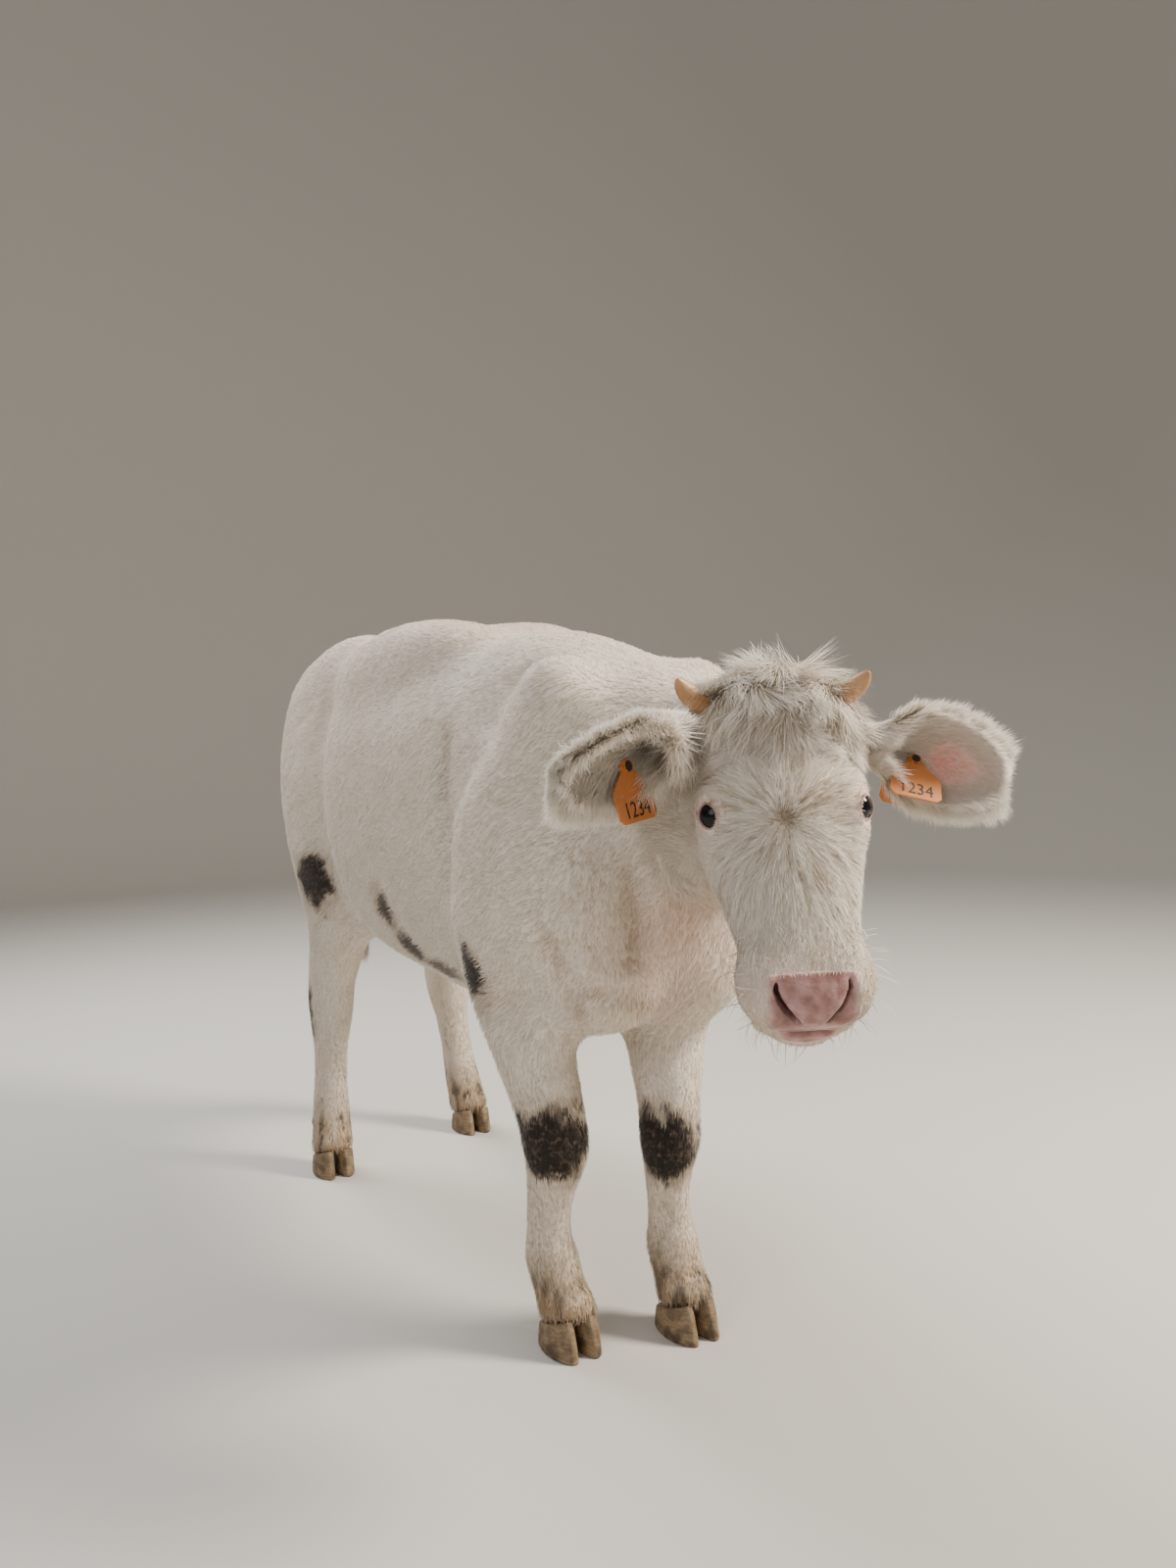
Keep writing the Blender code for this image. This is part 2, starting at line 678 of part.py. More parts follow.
def slab(point, normal, size):
    """A box of the gap's thickness, the wanted size across, for a thin cut."""
    bm = bmesh.new()
    frame = plane_frame(point, normal) @ Matrix.Diagonal((size[0], size[1], GAP, 1.0))
    bmesh.ops.create_cube(bm, size=1.0, matrix=frame)
    return new_object("slab", mesh_from_bmesh("slab", bm))


def drum(point, aim, radius, length):
    """A cylinder that starts at the point and runs along the aim."""
    bm = bmesh.new()
    frame = plane_frame(point, aim) @ Matrix.Translation((0.0, 0.0, length / 2))
    bmesh.ops.create_cone(
        bm, cap_ends=True, segments=24, radius1=radius, radius2=radius, depth=length, matrix=frame
    )
    return new_object("drum", mesh_from_bmesh("drum", bm))


# Cuts between the parts of the body: point on the cut, its normal, size of the slab
SKULL_CUT = ((0.070, -0.668, 0.780), (0.05, 0.990, 0.120), (0.36, 0.34))
NECK_CUT = ((0.000, -0.530, 0.780), (0.0, 0.894, -0.447), (0.60, 0.56))
FRONT_CUT_HEIGHT = 0.395
HIND_CUT_HEIGHT = 0.452
LEG_CUTS = {
    "front_right": (-0.122, -0.427, FRONT_CUT_HEIGHT),
    "front_left": (0.073, -0.460, FRONT_CUT_HEIGHT),
    "hind_right": (-0.147, 0.394, HIND_CUT_HEIGHT),
    "hind_left": (0.140, 0.480, HIND_CUT_HEIGHT),
}
LEG_CUT_SIZE = (0.164, 0.226)


def thinned(obj, triangles):
    """Thins the mesh to about this many triangles."""
    count = sum(len(face.vertices) - 2 for face in obj.data.polygons)
    applied(obj, "DECIMATE", decimate_type="COLLAPSE", ratio=triangles / count)
    return obj


def parted_flesh(flesh, triangles):
    """Cuts the whole flesh into its parts and names each by where it lies."""
    body = thinned(flesh, triangles)
    cut_away(body, slab(*SKULL_CUT))
    cut_away(body, slab(*NECK_CUT))
    for place in LEG_CUTS.values():
        cut_away(body, slab(place, (0.0, 0.0, 1.0), LEG_CUT_SIZE))
    bm = bmesh.new()
    bm.from_mesh(body.data)
    bpy.data.objects.remove(body, do_unlink=True)
    parts = {}
    for group in shells(bm)[: 3 + len(LEG_CUTS)]:
        piece = bmesh.new()
        made = {}
        for face in group:
            corners = []
            for vert in face.verts:
                if vert not in made:
                    made[vert] = piece.verts.new(vert.co)
                corners.append(made[vert])
            piece.faces.new(corners)
        bmesh.ops.triangulate(piece, faces=piece.faces[:])
        name = part_name(np.array([tuple(vert.co) for vert in piece.verts]))
        parts[name] = new_object(name, mesh_from_bmesh(name, piece))
    bm.free()
    return parts


def part_name(places):
    """Names a piece of the flesh by its box."""
    low, high = places.min(axis=0), places.max(axis=0)
    middle = (low + high) / 2
    if high[2] < 0.5:
        end = "front" if middle[1] < 0 else "hind"
        return f"leg_{end}_" + ("left" if middle[0] > 0 else "right")
    if high[1] - low[1] > 0.8:
        return "torso"
    return "head" if low[1] < -0.85 else "neck"


def fine_head(flesh):
    """The head again on a finer mesh, cut at the skull."""
    point, normal, _ = SKULL_CUT
    way = Vector(normal).normalized()
    head = new_object("head", flesh.data.copy())
    sliced(head.data, Vector(point) + way * 0.03, way, True)
    shell_nearest(head, HEAD_AT)
    applied(head, "REMESH", mode="VOXEL", voxel_size=HEAD_VOXEL, adaptivity=0.0)
    settle_on_field(head, 4, 0.35)
    return head


def finished_head(head, triangles):
    """Thins the head, cuts it off the neck and opens the seats of eyes, horns and ears."""
    point, normal, _ = SKULL_CUT
    way = Vector(normal).normalized()
    thinned(head, triangles)
    sliced(head.data, Vector(point) - way * GAP / 2, way, True)
    for sign in (1, -1):
        socket = eye_ball(sign, EYE_RADIUS + GAP)
        cut_away(head, socket)
        horn_root, horn_way = horn_base(sign)
        cut_away(head, drum(horn_root, horn_way, HORN_RADIUS + 0.012, 0.03))
        ear_root, ear_way = ear_base(sign)
        cut_away(head, drum(ear_root, ear_way, EAR_STUB_RADIUS + 0.012, 0.045))
    return largest_shell(head)


def eye_ball(sign, radius):
    bm = bmesh.new()
    place = HEAD_FRAME @ Vector((EYE_AT[0] * sign, EYE_AT[1], EYE_AT[2]))
    bmesh.ops.create_icosphere(bm, subdivisions=3, radius=radius, matrix=Matrix.Translation(place))
    return new_object("ball", mesh_from_bmesh("ball", bm))


def horn_base(sign):
    """Where the horn stands on its collar, and which way it grows."""
    way = (HEAD_FRAME.to_3x3() @ Vector((HORN_AIM[0] * sign, *HORN_AIM[1:]))).normalized()
    start = HEAD_FRAME @ Vector((HORN_AT[0] * sign, *HORN_AT[1:]))
    return start + way * HORN_STUB, way


def ear_base(sign):
    way = (HEAD_FRAME.to_3x3() @ Vector(EAR_AIM[sign])).normalized()
    start = HEAD_FRAME @ Vector((EAR_AT[0] * sign, *EAR_AT[1:]))
    return start + way * EAR_STUB, way


def tube_mesh(rings, name):
    """A closed skin over rings of vertices, each ring a list of points, ends capped."""
    bm = bmesh.new()
    loops = [[bm.verts.new(point) for point in ring] for ring in rings]
    for low, high in zip(loops[:-1], loops[1:]):
        for i in range(len(low)):
            j = (i + 1) % len(low)
            bm.faces.new((low[i], low[j], high[j], high[i]))
    bm.faces.new(loops[0][::-1])
    bm.faces.new(loops[-1])
    bmesh.ops.recalc_face_normals(bm, faces=bm.faces[:])
    bmesh.ops.triangulate(bm, faces=bm.faces[:])
    return mesh_from_bmesh(name, bm)


def horn(sign, name):
    """A short horn that curves forward and in, blunt at the tip."""
    root, way = horn_base(sign)
    inward = (HEAD_FRAME.to_3x3() @ Vector((-0.5 * sign, 0.35, 0.8))).normalized()
    rings = []
    steps = 7
    for i in range(steps + 1):
        t = i / steps
        centre = root + way * (GAP + HORN_LENGTH[sign] * t) + inward * 0.013 * t * t
        if i == 0:
            centre = root + way * GAP
        radius = HORN_RADIUS * (1 - t**2.2) ** 0.62 if i < steps else 0.0015
        frame = plane_frame(centre, (way + inward * 0.5 * t).normalized() if i else way)
        rings.append(
            [frame @ Vector((radius * math.cos(a), radius * math.sin(a), 0.0)) for a in circle(14)]
        )
    return new_object(name, tube_mesh(rings, name))


def tail_mesh(grow):
    """The tail as a tapered tube, made wider all round by the amount."""
    rows = smooth_curve([(*centre, radius) for centre, radius in TAIL], 2)
    rings = []
    for i, row in enumerate(rows):
        way = Vector(rows[min(i + 1, len(rows) - 1)][:3] - rows[max(i - 1, 0)][:3]).normalized()
        side = Vector((1.0, 0.0, 0.0))
        back = way.cross(side).normalized()
        centre = Vector(row[:3])
        if i == 0:
            centre -= way * grow
        radius = row[3] + grow
        ring = [
            centre + side * radius * math.cos(a) + back * radius * math.sin(a) for a in circle(12)
        ]
        rings.append(ring)
    return tube_mesh(rings, "tail")


def tail(torso):
    """The tail, and a seat for its root in the rump."""
    cut_away(torso, new_object("seat", tail_mesh(GAP)))
    return new_object("tail", tail_mesh(0.0))


def circle(count):
    return [2 * math.pi * i / count for i in range(count)]


def claw(foot, inner, name):
    """One claw of a cloven hoof: flat sole, sloped toe, top along the coronet."""
    x, y = FEET[foot]
    side = 1 if foot.endswith("left") else -1
    if inner:
        side = -side
    slope = math.tan(HOOF_SLOPE)
    rings = []
    levels = ((0.0, 1.0, 0.0), (0.35, 0.985, 0.004), (0.7, 0.95, 0.008), (1.0, 0.90, 0.013))
    for height, scale, back in levels:
        ring = []
        for angle in circle(18):
            across, along = math.cos(angle), math.sin(angle)
            wide = CLAW_WIDE * abs(across) ** 0.8 * math.copysign(1, across)
            toe = max(0.0, -along)
            wide *= 1 - 0.30 * toe**2
            px = x + side * (CLEFT / 2 + CLAW_WIDE - 0.22 * CLAW_WIDE * toe**2) + wide * scale
            py = y + CLAW_SHIFT + CLAW_LONG * along * scale + back * toe
            top = HOOF_TOP - GAP - (py - (y - CORONET_DEPTH)) * slope
            ring.append(Vector((px, py, top * height)))
        rings.append(ring)
    return new_object(name, tube_mesh(rings, name))


def coronet_cut(leg, foot):
    """Ends the leg at the sloped line of the coronet."""
    x, y = FEET[foot]
    normal = (0.0, -math.sin(HOOF_SLOPE), -math.cos(HOOF_SLOPE))
    sliced(leg.data, (x, y - CORONET_DEPTH, HOOF_TOP), normal, True)
    return largest_shell(leg)


def ear_frame(sign):
    """Root of the leaf, way along it, way that its hollow faces, and way across."""
    root, way = ear_base(sign)
    out = (HEAD_FRAME.to_3x3() @ Vector(EAR_OPEN[sign])).normalized()
    out = (out - way * out.dot(way)).normalized()
    return root, way, out, way.cross(out)


def ear_point(sign, u, v):
    """A point of the leaf's middle sheet: u from root to tip, v from edge to edge."""
    root, way, out, across = ear_frame(sign)
    droop = (HEAD_FRAME.to_3x3() @ Vector(EAR_DROOP[sign])).normalized()
    tip = math.sqrt(max(0.0, 1 - max(0.0, (u - 0.50) / 0.50) ** 2.6))
    half = EAR_WIDTH / 2 * (1.05 - 0.06 * math.cos(2 * math.pi * u)) * max(0.08, tip)
    curl = math.radians(135 - 88 * smooth(u / 0.42))
    radius = half / curl
    angle = curl * v
    side = across * radius * math.sin(angle)
    deep = out * (radius * (1 - math.cos(angle)) - EAR_TUBE)
    return root + way * EAR_LENGTH[sign] * u + side + deep + droop * 0.030 * u * u


def smooth(t):
    t = min(1.0, max(0.0, t))
    return t * t * (3 - 2 * t)


def ear(sign, name):
    """The leaf of an ear: one curled sheet with thickness, its hollow open."""
    rows, columns = 13, 8
    bm = bmesh.new()
    grid = []
    for i in range(rows + 1):
        u = i / rows if i else -0.03
        grid.append([bm.verts.new(ear_point(sign, u, 2 * j / columns - 1)) for j in range(columns + 1)])
    for low, high in zip(grid[:-1], grid[1:]):
        for j in range(columns):
            bm.faces.new((low[j], low[j + 1], high[j + 1], high[j]))
    bmesh.ops.triangulate(bm, faces=bm.faces[:])
    leaf = new_object(name, mesh_from_bmesh(name, bm))
    applied(leaf, "SOLIDIFY", thickness=EAR_WALL, offset=0.0, use_even_offset=False)
    root, way = ear_base(sign)
    sliced(leaf.data, root + way * GAP, -way, True)
    return largest_shell(leaf)


# Ear tags: a plate hung on a pin through the leaf, and the plate of the pin behind it
TAG_WIDE = 0.062
TAG_HIGH = 0.048
TAG_NECK = 0.018
TAG_THICK = 0.0022
TAG_PLACE = {1: (0.42, 0.18), -1: (0.47, -0.36)}  # along and across the leaf
PIN_RADIUS = 0.0032
PIN_PLAY = 0.0080  # room between the leaf and each plate


def tag_outline(wide, high, neck):
    """The outline of a plate: a narrow neck round the pin, widening to a plate below it."""
    half = wide / 2
    right = [(0.0050, 0.0070), (0.0090, 0.0040), (0.0105, -0.0060), (half * 0.72, -neck)]
    right += [(half, -neck - 0.010), (half, -neck - high + 0.006), (half - 0.006, -neck - high)]
    return right + [(-x, y) for x, y in right[::-1]]


def plate(here, out, down, outline, name):
    """A flat plate with the outline, hung downwards from its pin."""
    side = down.cross(out).normalized()
    face = side.cross(down).normalized()
    rings = []
    for level in (-TAG_THICK / 2, TAG_THICK / 2):
        rings.append([here + side * x - down * y + face * level for x, y in outline])
    return new_object(name, tube_mesh(rings, name))


def plate_way(sign, top, along, out, low, outline):
    """Tips the plate outwards from its pin until no point of the leaf reaches it."""
    wide = max(x for x, y in outline) + 0.004
    high = -min(y for x, y in outline) + 0.004
    reach = EAR_WALL / 2 + TAG_THICK / 2 + 0.0015
    for degrees in range(0, 90, 3):
        lean = math.radians(degrees)
        down = low * math.cos(lean) + out * math.sin(lean)
        face = out * math.cos(lean) - low * math.sin(lean)
        free = True
        for i in range(41):
            for j in range(31):
                offset = ear_point(sign, i / 40, j / 15 - 1) - top
                inside = abs(offset.dot(along)) < wide and -0.009 < offset.dot(down) < high
                if inside and offset.dot(face) > -reach:
                    free = False
        if free:
            break
    return down, face


def ear_tags(sign, side, leaf):
    """Front plate with its pin through the leaf, and the pin's plate behind."""
    u, v = TAG_PLACE[sign]
    here = ear_point(sign, u, v)
    along = (ear_point(sign, u + 0.05, v) - ear_point(sign, u - 0.05, v)).normalized()
    across = ear_point(sign, u, v + 0.05) - ear_point(sign, u, v - 0.05)
    out = along.cross(across).normalized()
    if out.dot(ear_frame(sign)[2]) < 0:
        out = -out
    clear = EAR_WALL / 2 + PIN_PLAY + TAG_THICK / 2
    top = here + out * clear
    low = Vector((0.0, 0.0, -1.0))
    low = (low - along * low.dot(along) - out * low.dot(out)).normalized()
    outline = tag_outline(TAG_WIDE, TAG_HIGH, TAG_NECK)
    down, face = plate_way(sign, top, along, out, low, outline)
    front = plate(top, face, down, outline, f"tag_{side}_front")
    outline = tag_outline(TAG_WIDE * 0.9, TAG_HIGH * 0.8, TAG_NECK)
    plate(here - out * clear, out, low, outline, f"tag_{side}_back")
    cut_away(leaf, drum(here - out * 0.02, out, PIN_RADIUS + GAP, 0.04))
    start = here - out * (clear - TAG_THICK / 2 - GAP)
    cut_away(front, drum(start, out, PIN_RADIUS, (top - start).length), "UNION")
    cut_away(front, drum(top, face, 0.0075, 0.0050), "UNION")
    largest_shell(leaf)
    largest_shell(front)


# Locks of hair: flat, tapered and bending, fused with the piece that they grow on
LOCK_THICK = 0.0050
POLL_ROWS = (  # place along the head, count, half spread, length, rise of the hair
    (-0.030, 5, 0.046, 0.040, 0.75),
    (-0.006, 6, 0.050, 0.046, 0.80),
    (0.018, 7, 0.050, 0.050, 0.62),
    (0.044, 6, 0.056, 0.050, 0.42),
    (0.070, 5, 0.046, 0.046, 0.26),
)
FRINGE_LENGTH = 0.026
FRINGE_WIDTH = 0.019
FRINGE_PLACES = {1: (0.25, 0.37, 0.49, 0.61, 0.73, 0.84, 0.95), -1: (0.78, 0.91)}
SWITCH_LOCKS = 12
SWITCH_LENGTH = 0.105


def lock(root, way, flat, length, width, droop, thick=LOCK_THICK):
    """One lock: runs along its way, lies flat to the normal, bends by the droop at its tip."""
    way = way.normalized()
    side = way.cross(flat).normalized()
    deep = side.cross(way).normalized()
    rings = []
    for share, size in ((0.0, 0.80), (0.33, 1.0), (0.68, 0.72), (1.0, 0.07)):
        centre = root + way * length * share + droop * share * share
        across, high = side * width / 2 * size, deep * thick / 2 * size
        rings.append([centre - across, centre - high, centre + across, centre + high])
    return new_object("lock", tube_mesh(rings, "lock"))


def fused(obj, pieces):
    """One union of the object with all the pieces, which are removed afterwards."""
    group = bpy.data.collections.new("pieces")
    bpy.context.scene.collection.children.link(group)
    for piece in pieces:
        bpy.context.scene.collection.objects.unlink(piece)
        group.objects.link(piece)
    settings = {"operand_type": "COLLECTION", "collection": group, "solver": "EXACT"}
    applied(obj, "BOOLEAN", operation="UNION", **settings)
    for piece in pieces:
        bpy.data.objects.remove(piece, do_unlink=True)
    bpy.data.collections.remove(group)
    return largest_shell(obj)


def on_skin(start, way):
    """Where a ray from outside first meets the flesh."""
    steps = np.linspace(0.0, 0.25, 251)
    points = np.array(start)[None] + steps[:, None] * np.array(way)[None]
    inside = np.nonzero(flesh_field(points) < 0)[0]
    return Vector(points[inside[0]])


def poll_locks(rng):
    """The topknot between the horns, its hair thrown forward over the forehead."""
    turn = HEAD_FRAME.to_3x3()
    pieces = []
    for place, count, spread, length, rise in POLL_ROWS:
        for i in range(count):
            x = spread * (2 * i / (count - 1) - 1) + rng.uniform(-0.004, 0.004)
            y = place + rng.uniform(-0.003, 0.003)
            start = on_skin(HEAD_FRAME @ Vector((x, y, 0.17)), turn @ Vector((0.0, 0.0, -1.0)))
            ahead = 0.75 if place > -0.02 else -0.30
            way = Vector((5.0 * x + rng.uniform(-0.15, 0.15), ahead, rise))
            droop = turn @ Vector((x * 0.08, 0.006, -0.014))
            flat = turn @ Vector((x * 3.0, -0.3, 1.0))
            root = start - turn @ Vector((0.0, 0.0, 0.007))
            size = length * rng.uniform(0.85, 1.1)
            pieces.append(lock(root, turn @ way, flat, size, 0.019, droop))
    return pieces


def fringe_locks(sign, rng):
    """Hair along the rims of the leaf of an ear, clear of the tag below."""
    pieces = []
    for edge, places in FRINGE_PLACES.items():
        rim = -float(sign) * edge
        for u in places:
            here = ear_point(sign, u, rim)
            along = (ear_point(sign, u + 0.02, rim) - ear_point(sign, u - 0.02, rim)).normalized()
            out = (here - ear_point(sign, u, rim * 0.8)).normalized()
            lean = 0.35 + 0.9 * u**3
            way = (out + along * lean).normalized()
            flat = out.cross(along).normalized()
            length = FRINGE_LENGTH * rng.uniform(0.85, 1.15) + 0.009
            droop = Vector((0.0, 0.0, -0.003))
            pieces.append(lock(here - way * 0.009, way, flat, length, FRINGE_WIDTH, droop, 0.0042))
    return pieces


def switch_locks(rng):
    """The long hair at the end of the tail."""
    pieces = []
    for i in range(SWITCH_LOCKS):
        share = i / (SWITCH_LOCKS - 1)
        angle = 2.4 * i
        centre = Vector((-0.0140 - 0.004 * share, 0.636 - 0.003 * share, 0.500 - 0.085 * share))
        out = Vector((math.cos(angle), math.sin(angle), 0.0))
        way = Vector((0.0, 0.0, -1.0)) + out * rng.uniform(0.10, 0.22)
        length = SWITCH_LENGTH * rng.uniform(0.85, 1.1) * (1 - 0.25 * share)
        droop = out * -0.010
        pieces.append(lock(centre + out * 0.006, way, out, length, 0.024, droop, 0.009))
    return pieces


# Finish of each piece: colour and roughness
COAT = ("coat", (0.80, 0.75, 0.66), 0.85)
HORN = ("horn", (0.62, 0.42, 0.24), 0.45)
HOOF = ("hoof", (0.34, 0.27, 0.19), 0.55)
EYE = ("eye", (0.012, 0.014, 0.022), 0.05)
TAG = ("tag", (0.85, 0.36, 0.08), 0.45)
FINISHES = {"horn": HORN, "claw": HOOF, "eye": EYE, "tag": TAG}


def painted(obj):
    """Gives the piece the material of its kind."""
    name, colour, rough = COAT
    for start, finish in FINISHES.items():
        if obj.name.startswith(start):
            name, colour, rough = finish
    material = bpy.data.materials.get(name)
    if material is None:
        material = bpy.data.materials.new(name)
        material.use_nodes = True
        shader = material.node_tree.nodes["Principled BSDF"]
        shader.inputs["Base Color"].default_value = (*colour, 1.0)
        shader.inputs["Roughness"].default_value = rough
        shader.inputs["Metallic"].default_value = 0.0
    obj.data.materials.clear()
    obj.data.materials.append(material)


def clear_scene():
    for obj in list(bpy.data.objects):
        bpy.data.objects.remove(obj, do_unlink=True)


def main():
    clear_scene()
    rng = random.Random(11)
    flesh = whole_flesh()
    head = finished_head(fine_head(flesh), 3600)
    parts = parted_flesh(flesh, 6400)
    bpy.data.objects.remove(parts.pop("head"), do_unlink=True)
    head.name = "head"
    tail(parts["torso"])
    largest_shell(parts["torso"])
    for foot in FEET:
        coronet_cut(parts["leg_" + foot], foot)
        claw(foot, False, f"claw_{foot}_outer")
        claw(foot, True, f"claw_{foot}_inner")
    for sign, side in ((1, "left"), (-1, "right")):
        ball = eye_ball(sign, EYE_RADIUS)
        ball.name = f"eye_{side}"
        horn(sign, f"horn_{side}")
        leaf = ear(sign, f"ear_{side}")
        ear_tags(sign, side, leaf)
        fused(leaf, fringe_locks(sign, rng))
    fused(head, poll_locks(rng))
    fused(bpy.data.objects["tail"], switch_locks(rng))
    for obj in bpy.data.objects:
        obj.data.transform(Matrix.Translation(CENTRE))
        painted(obj)


main()
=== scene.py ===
"""Looks of a young white Belgian Blue calf, built as an add-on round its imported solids.

Metres, +Z up. The calf faces -Y and its own left side is +X. One skin covers the flesh, and
the coat is thin bent tufts of mesh rooted in it. Eyes, horns, claws, ears and tags are pieces
of their own. The head's own frame has +Y to the muzzle and +Z to the forehead.
"""

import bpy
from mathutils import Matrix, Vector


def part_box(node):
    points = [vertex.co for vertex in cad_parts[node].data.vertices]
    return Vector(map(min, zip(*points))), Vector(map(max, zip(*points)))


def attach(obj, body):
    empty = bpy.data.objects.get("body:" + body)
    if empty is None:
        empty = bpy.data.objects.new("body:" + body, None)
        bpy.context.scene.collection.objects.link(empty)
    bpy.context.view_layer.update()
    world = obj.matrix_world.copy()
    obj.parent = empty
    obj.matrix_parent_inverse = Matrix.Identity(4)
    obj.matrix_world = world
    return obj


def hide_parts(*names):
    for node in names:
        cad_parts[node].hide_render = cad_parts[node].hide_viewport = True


bl_info = {
    "name": "Belgian Blue calf",
    "version": (1, 0, 0),
    "blender": (4, 5, 0),
    "location": "3D View > Sidebar > Calf",
    "description": "Skin, coat, eyes, horns, claws, ears and tags of a young beef calf",
    "category": "Add Mesh",
}

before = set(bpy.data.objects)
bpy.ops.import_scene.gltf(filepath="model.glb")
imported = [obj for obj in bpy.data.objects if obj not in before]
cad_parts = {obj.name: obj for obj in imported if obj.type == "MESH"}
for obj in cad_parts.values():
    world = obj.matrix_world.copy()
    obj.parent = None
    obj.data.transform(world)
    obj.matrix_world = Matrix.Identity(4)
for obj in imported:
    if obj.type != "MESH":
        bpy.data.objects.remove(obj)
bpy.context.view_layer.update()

import math

import bmesh
import bpy
import numpy as np
from mathutils import Matrix, Vector
from mathutils.bvhtree import BVHTree

# Places that the solids share
CENTRE = np.array((-0.043, 0.133, 0.0))
HEAD_AT = np.array((0.077, -0.697, 0.840)) + CENTRE
HEAD_TURN = math.radians(-25.7)
HEAD_DIP = math.radians(57.0)
HEAD_TILT = math.radians(3.2)
EYE_AT = np.array((0.0810, 0.147, 0.041))
EYE_AIM = np.array((0.70, 0.40, 0.59))
HORN_AT = np.array((0.086, 0.010, 0.070))
HORN_AIM = np.array((0.72, -0.28, 0.60))
HORN_LENGTH = {1: 0.033, -1: 0.039}
HORN_STUB = 0.010
EAR_AT = np.array((0.086, 0.042, 0.016))
EAR_STUB = 0.022
EAR_TUBE = 0.0240
EAR_AIM = {1: (0.965, 0.11, -0.11), -1: (-0.73, 0.35, 0.59)}
EAR_OPEN = {1: (-0.05, 0.62, 0.76), -1: (0.44, 0.78, 0.26)}
EAR_DROOP = {1: (0.0, 0.5, 0.0), -1: (0.0, 0.84, -0.54)}
WHORL = np.array((-0.009, 0.175, 0.076))
# Reach of the painted shade in the whorl's dimple
WHORL_RADIUS = 0.014
SIDES = ((1, "left"), (-1, "right"))
FLESH = ("head", "neck", "torso", "leg_front_left", "leg_front_right", "leg_hind_left",
         "leg_hind_right")
TAIL = (
    ((0.000, 0.525, 0.985), 0.030),
    ((0.000, 0.592, 0.972), 0.029),
    ((0.000, 0.622, 0.925), 0.0250),
    ((0.000, 0.634, 0.860), 0.0205),
    ((-0.002, 0.640, 0.770), 0.0160),
    ((-0.006, 0.641, 0.680), 0.0135),
    ((-0.010, 0.640, 0.590), 0.0120),
    ((-0.014, 0.637, 0.510), 0.0110),
    ((-0.016, 0.634, 0.445), 0.0100),
)

# Dirt on the coat, and a dark patch behind the right elbow: centre in the solids' frame, half
# sizes, strength
DIRT = (
    ((-0.122, -0.470, 0.292), (0.056, 0.062, 0.050), 1.0),
    ((0.036, -0.508, 0.272), (0.054, 0.060, 0.050), 1.0),
    ((-0.190, 0.300, 0.590), (0.075, 0.075, 0.050), 1.0),
    ((-0.197, -0.056, 0.568), (0.030, 0.028, 0.034), 0.9),
    ((-0.160, -0.080, 0.510), (0.050, 0.040, 0.024), 0.9),
    ((-0.120, -0.160, 0.480), (0.060, 0.060, 0.016), 0.7),
    # A dark patch behind the right elbow
    ((-0.197, -0.405, 0.525), (0.024, 0.030, 0.046), 1.0),
    ((-0.182, 0.490, 0.300), (0.034, 0.046, 0.056), 1.0),
    ((-0.020, -0.470, 0.400), (0.024, 0.050, 0.070), 0.7),
)

# Folds of the skin in the solids' frame, pressed into the skin and darkened with painted shade:
# places, depth, width
FOLDS = (
    (((-0.178, -0.588, 0.590), (-0.149, -0.575, 0.530), (-0.122, -0.566, 0.480)), 0.0080, 0.015),
    (((-0.147, -0.572, 0.526), (-0.096, -0.598, 0.503), (-0.034, -0.590, 0.485)), 0.0060, 0.012),
    (((-0.084, -0.622, 0.660), (-0.066, -0.612, 0.588), (-0.072, -0.606, 0.550)), 0.0060, 0.018),
    (((-0.186, -0.300, 0.860), (-0.214, -0.330, 0.740), (-0.216, -0.315, 0.640)), 0.0050, 0.022),
)

# Lines of the left half of the face, in the head's frame
NOSTRIL = ((0.0180, 0.3860, 0.0070), (0.0230, 0.3825, 0.0120), (0.0300, 0.3755, 0.0180),
           (0.0360, 0.3680, 0.0245), (0.0400, 0.3610, 0.0320), (0.0395, 0.3550, 0.0390))
NOSTRIL_INNER = ((0.0120, 0.3880, 0.0120), (0.0200, 0.3810, 0.0220), (0.0280, 0.3710, 0.0310),
                 (0.0340, 0.3600, 0.0380))
NOSTRIL_OUTER = ((0.0470, 0.3520, 0.0390), (0.0500, 0.3600, 0.0260), (0.0470, 0.3690, 0.0110),
                 (0.0370, 0.3790, -0.0020))
NOSTRIL_HOLLOW = ((0.0250, 0.3830, 0.0060), (0.0340, 0.3750, 0.0120), (0.0410, 0.3660, 0.0210))
MOUTH = ((0.0, 0.3870, -0.0300), (0.018, 0.3850, -0.0335), (0.034, 0.3760, -0.0355),
         (0.050, 0.3560, -0.0355), (0.062, 0.3300, -0.0330), (0.069, 0.2980, -0.0290))
WHOLE_MOUTH = tuple((-x, y, z) for x, y, z in MOUTH[:0:-1]) + MOUTH
MUZZLE_MIDDLE = ((0.0, 0.388, 0.006), (0.0, 0.389, -0.012), (0.0, 0.388, -0.029))

# The photo's camera: sizes in pixels, the horizon's rise over the middle in pixels, its slope
PHOTO_HEIGHT = 1600
PHOTO_FOCUS = 1190
HORIZON_RISE = 30
HORIZON_SLOPE = -0.0238
SENSOR = 36.0
CAMERA_AT = np.array((-0.83103, -1.86257, 0.81)) + CENTRE
CAMERA_AHEAD = np.array((0.48859942, 0.87250823, 0.0))
CAMERA_RIGHT = np.array((0.87250823, -0.48859942, 0.0))

# Studio: the floor's radius, the curve from it to the round wall, and the wall's height
FLOOR_RADIUS, WALL_CURVE, WALL_HEIGHT, WALL_SIDES = 6.0, 2.5, 8.0, 96
SKY, SKY_STRENGTH = "e4e0da", 0.54
LAMP_TARGET = Vector((0.0, 0.0, 0.55))
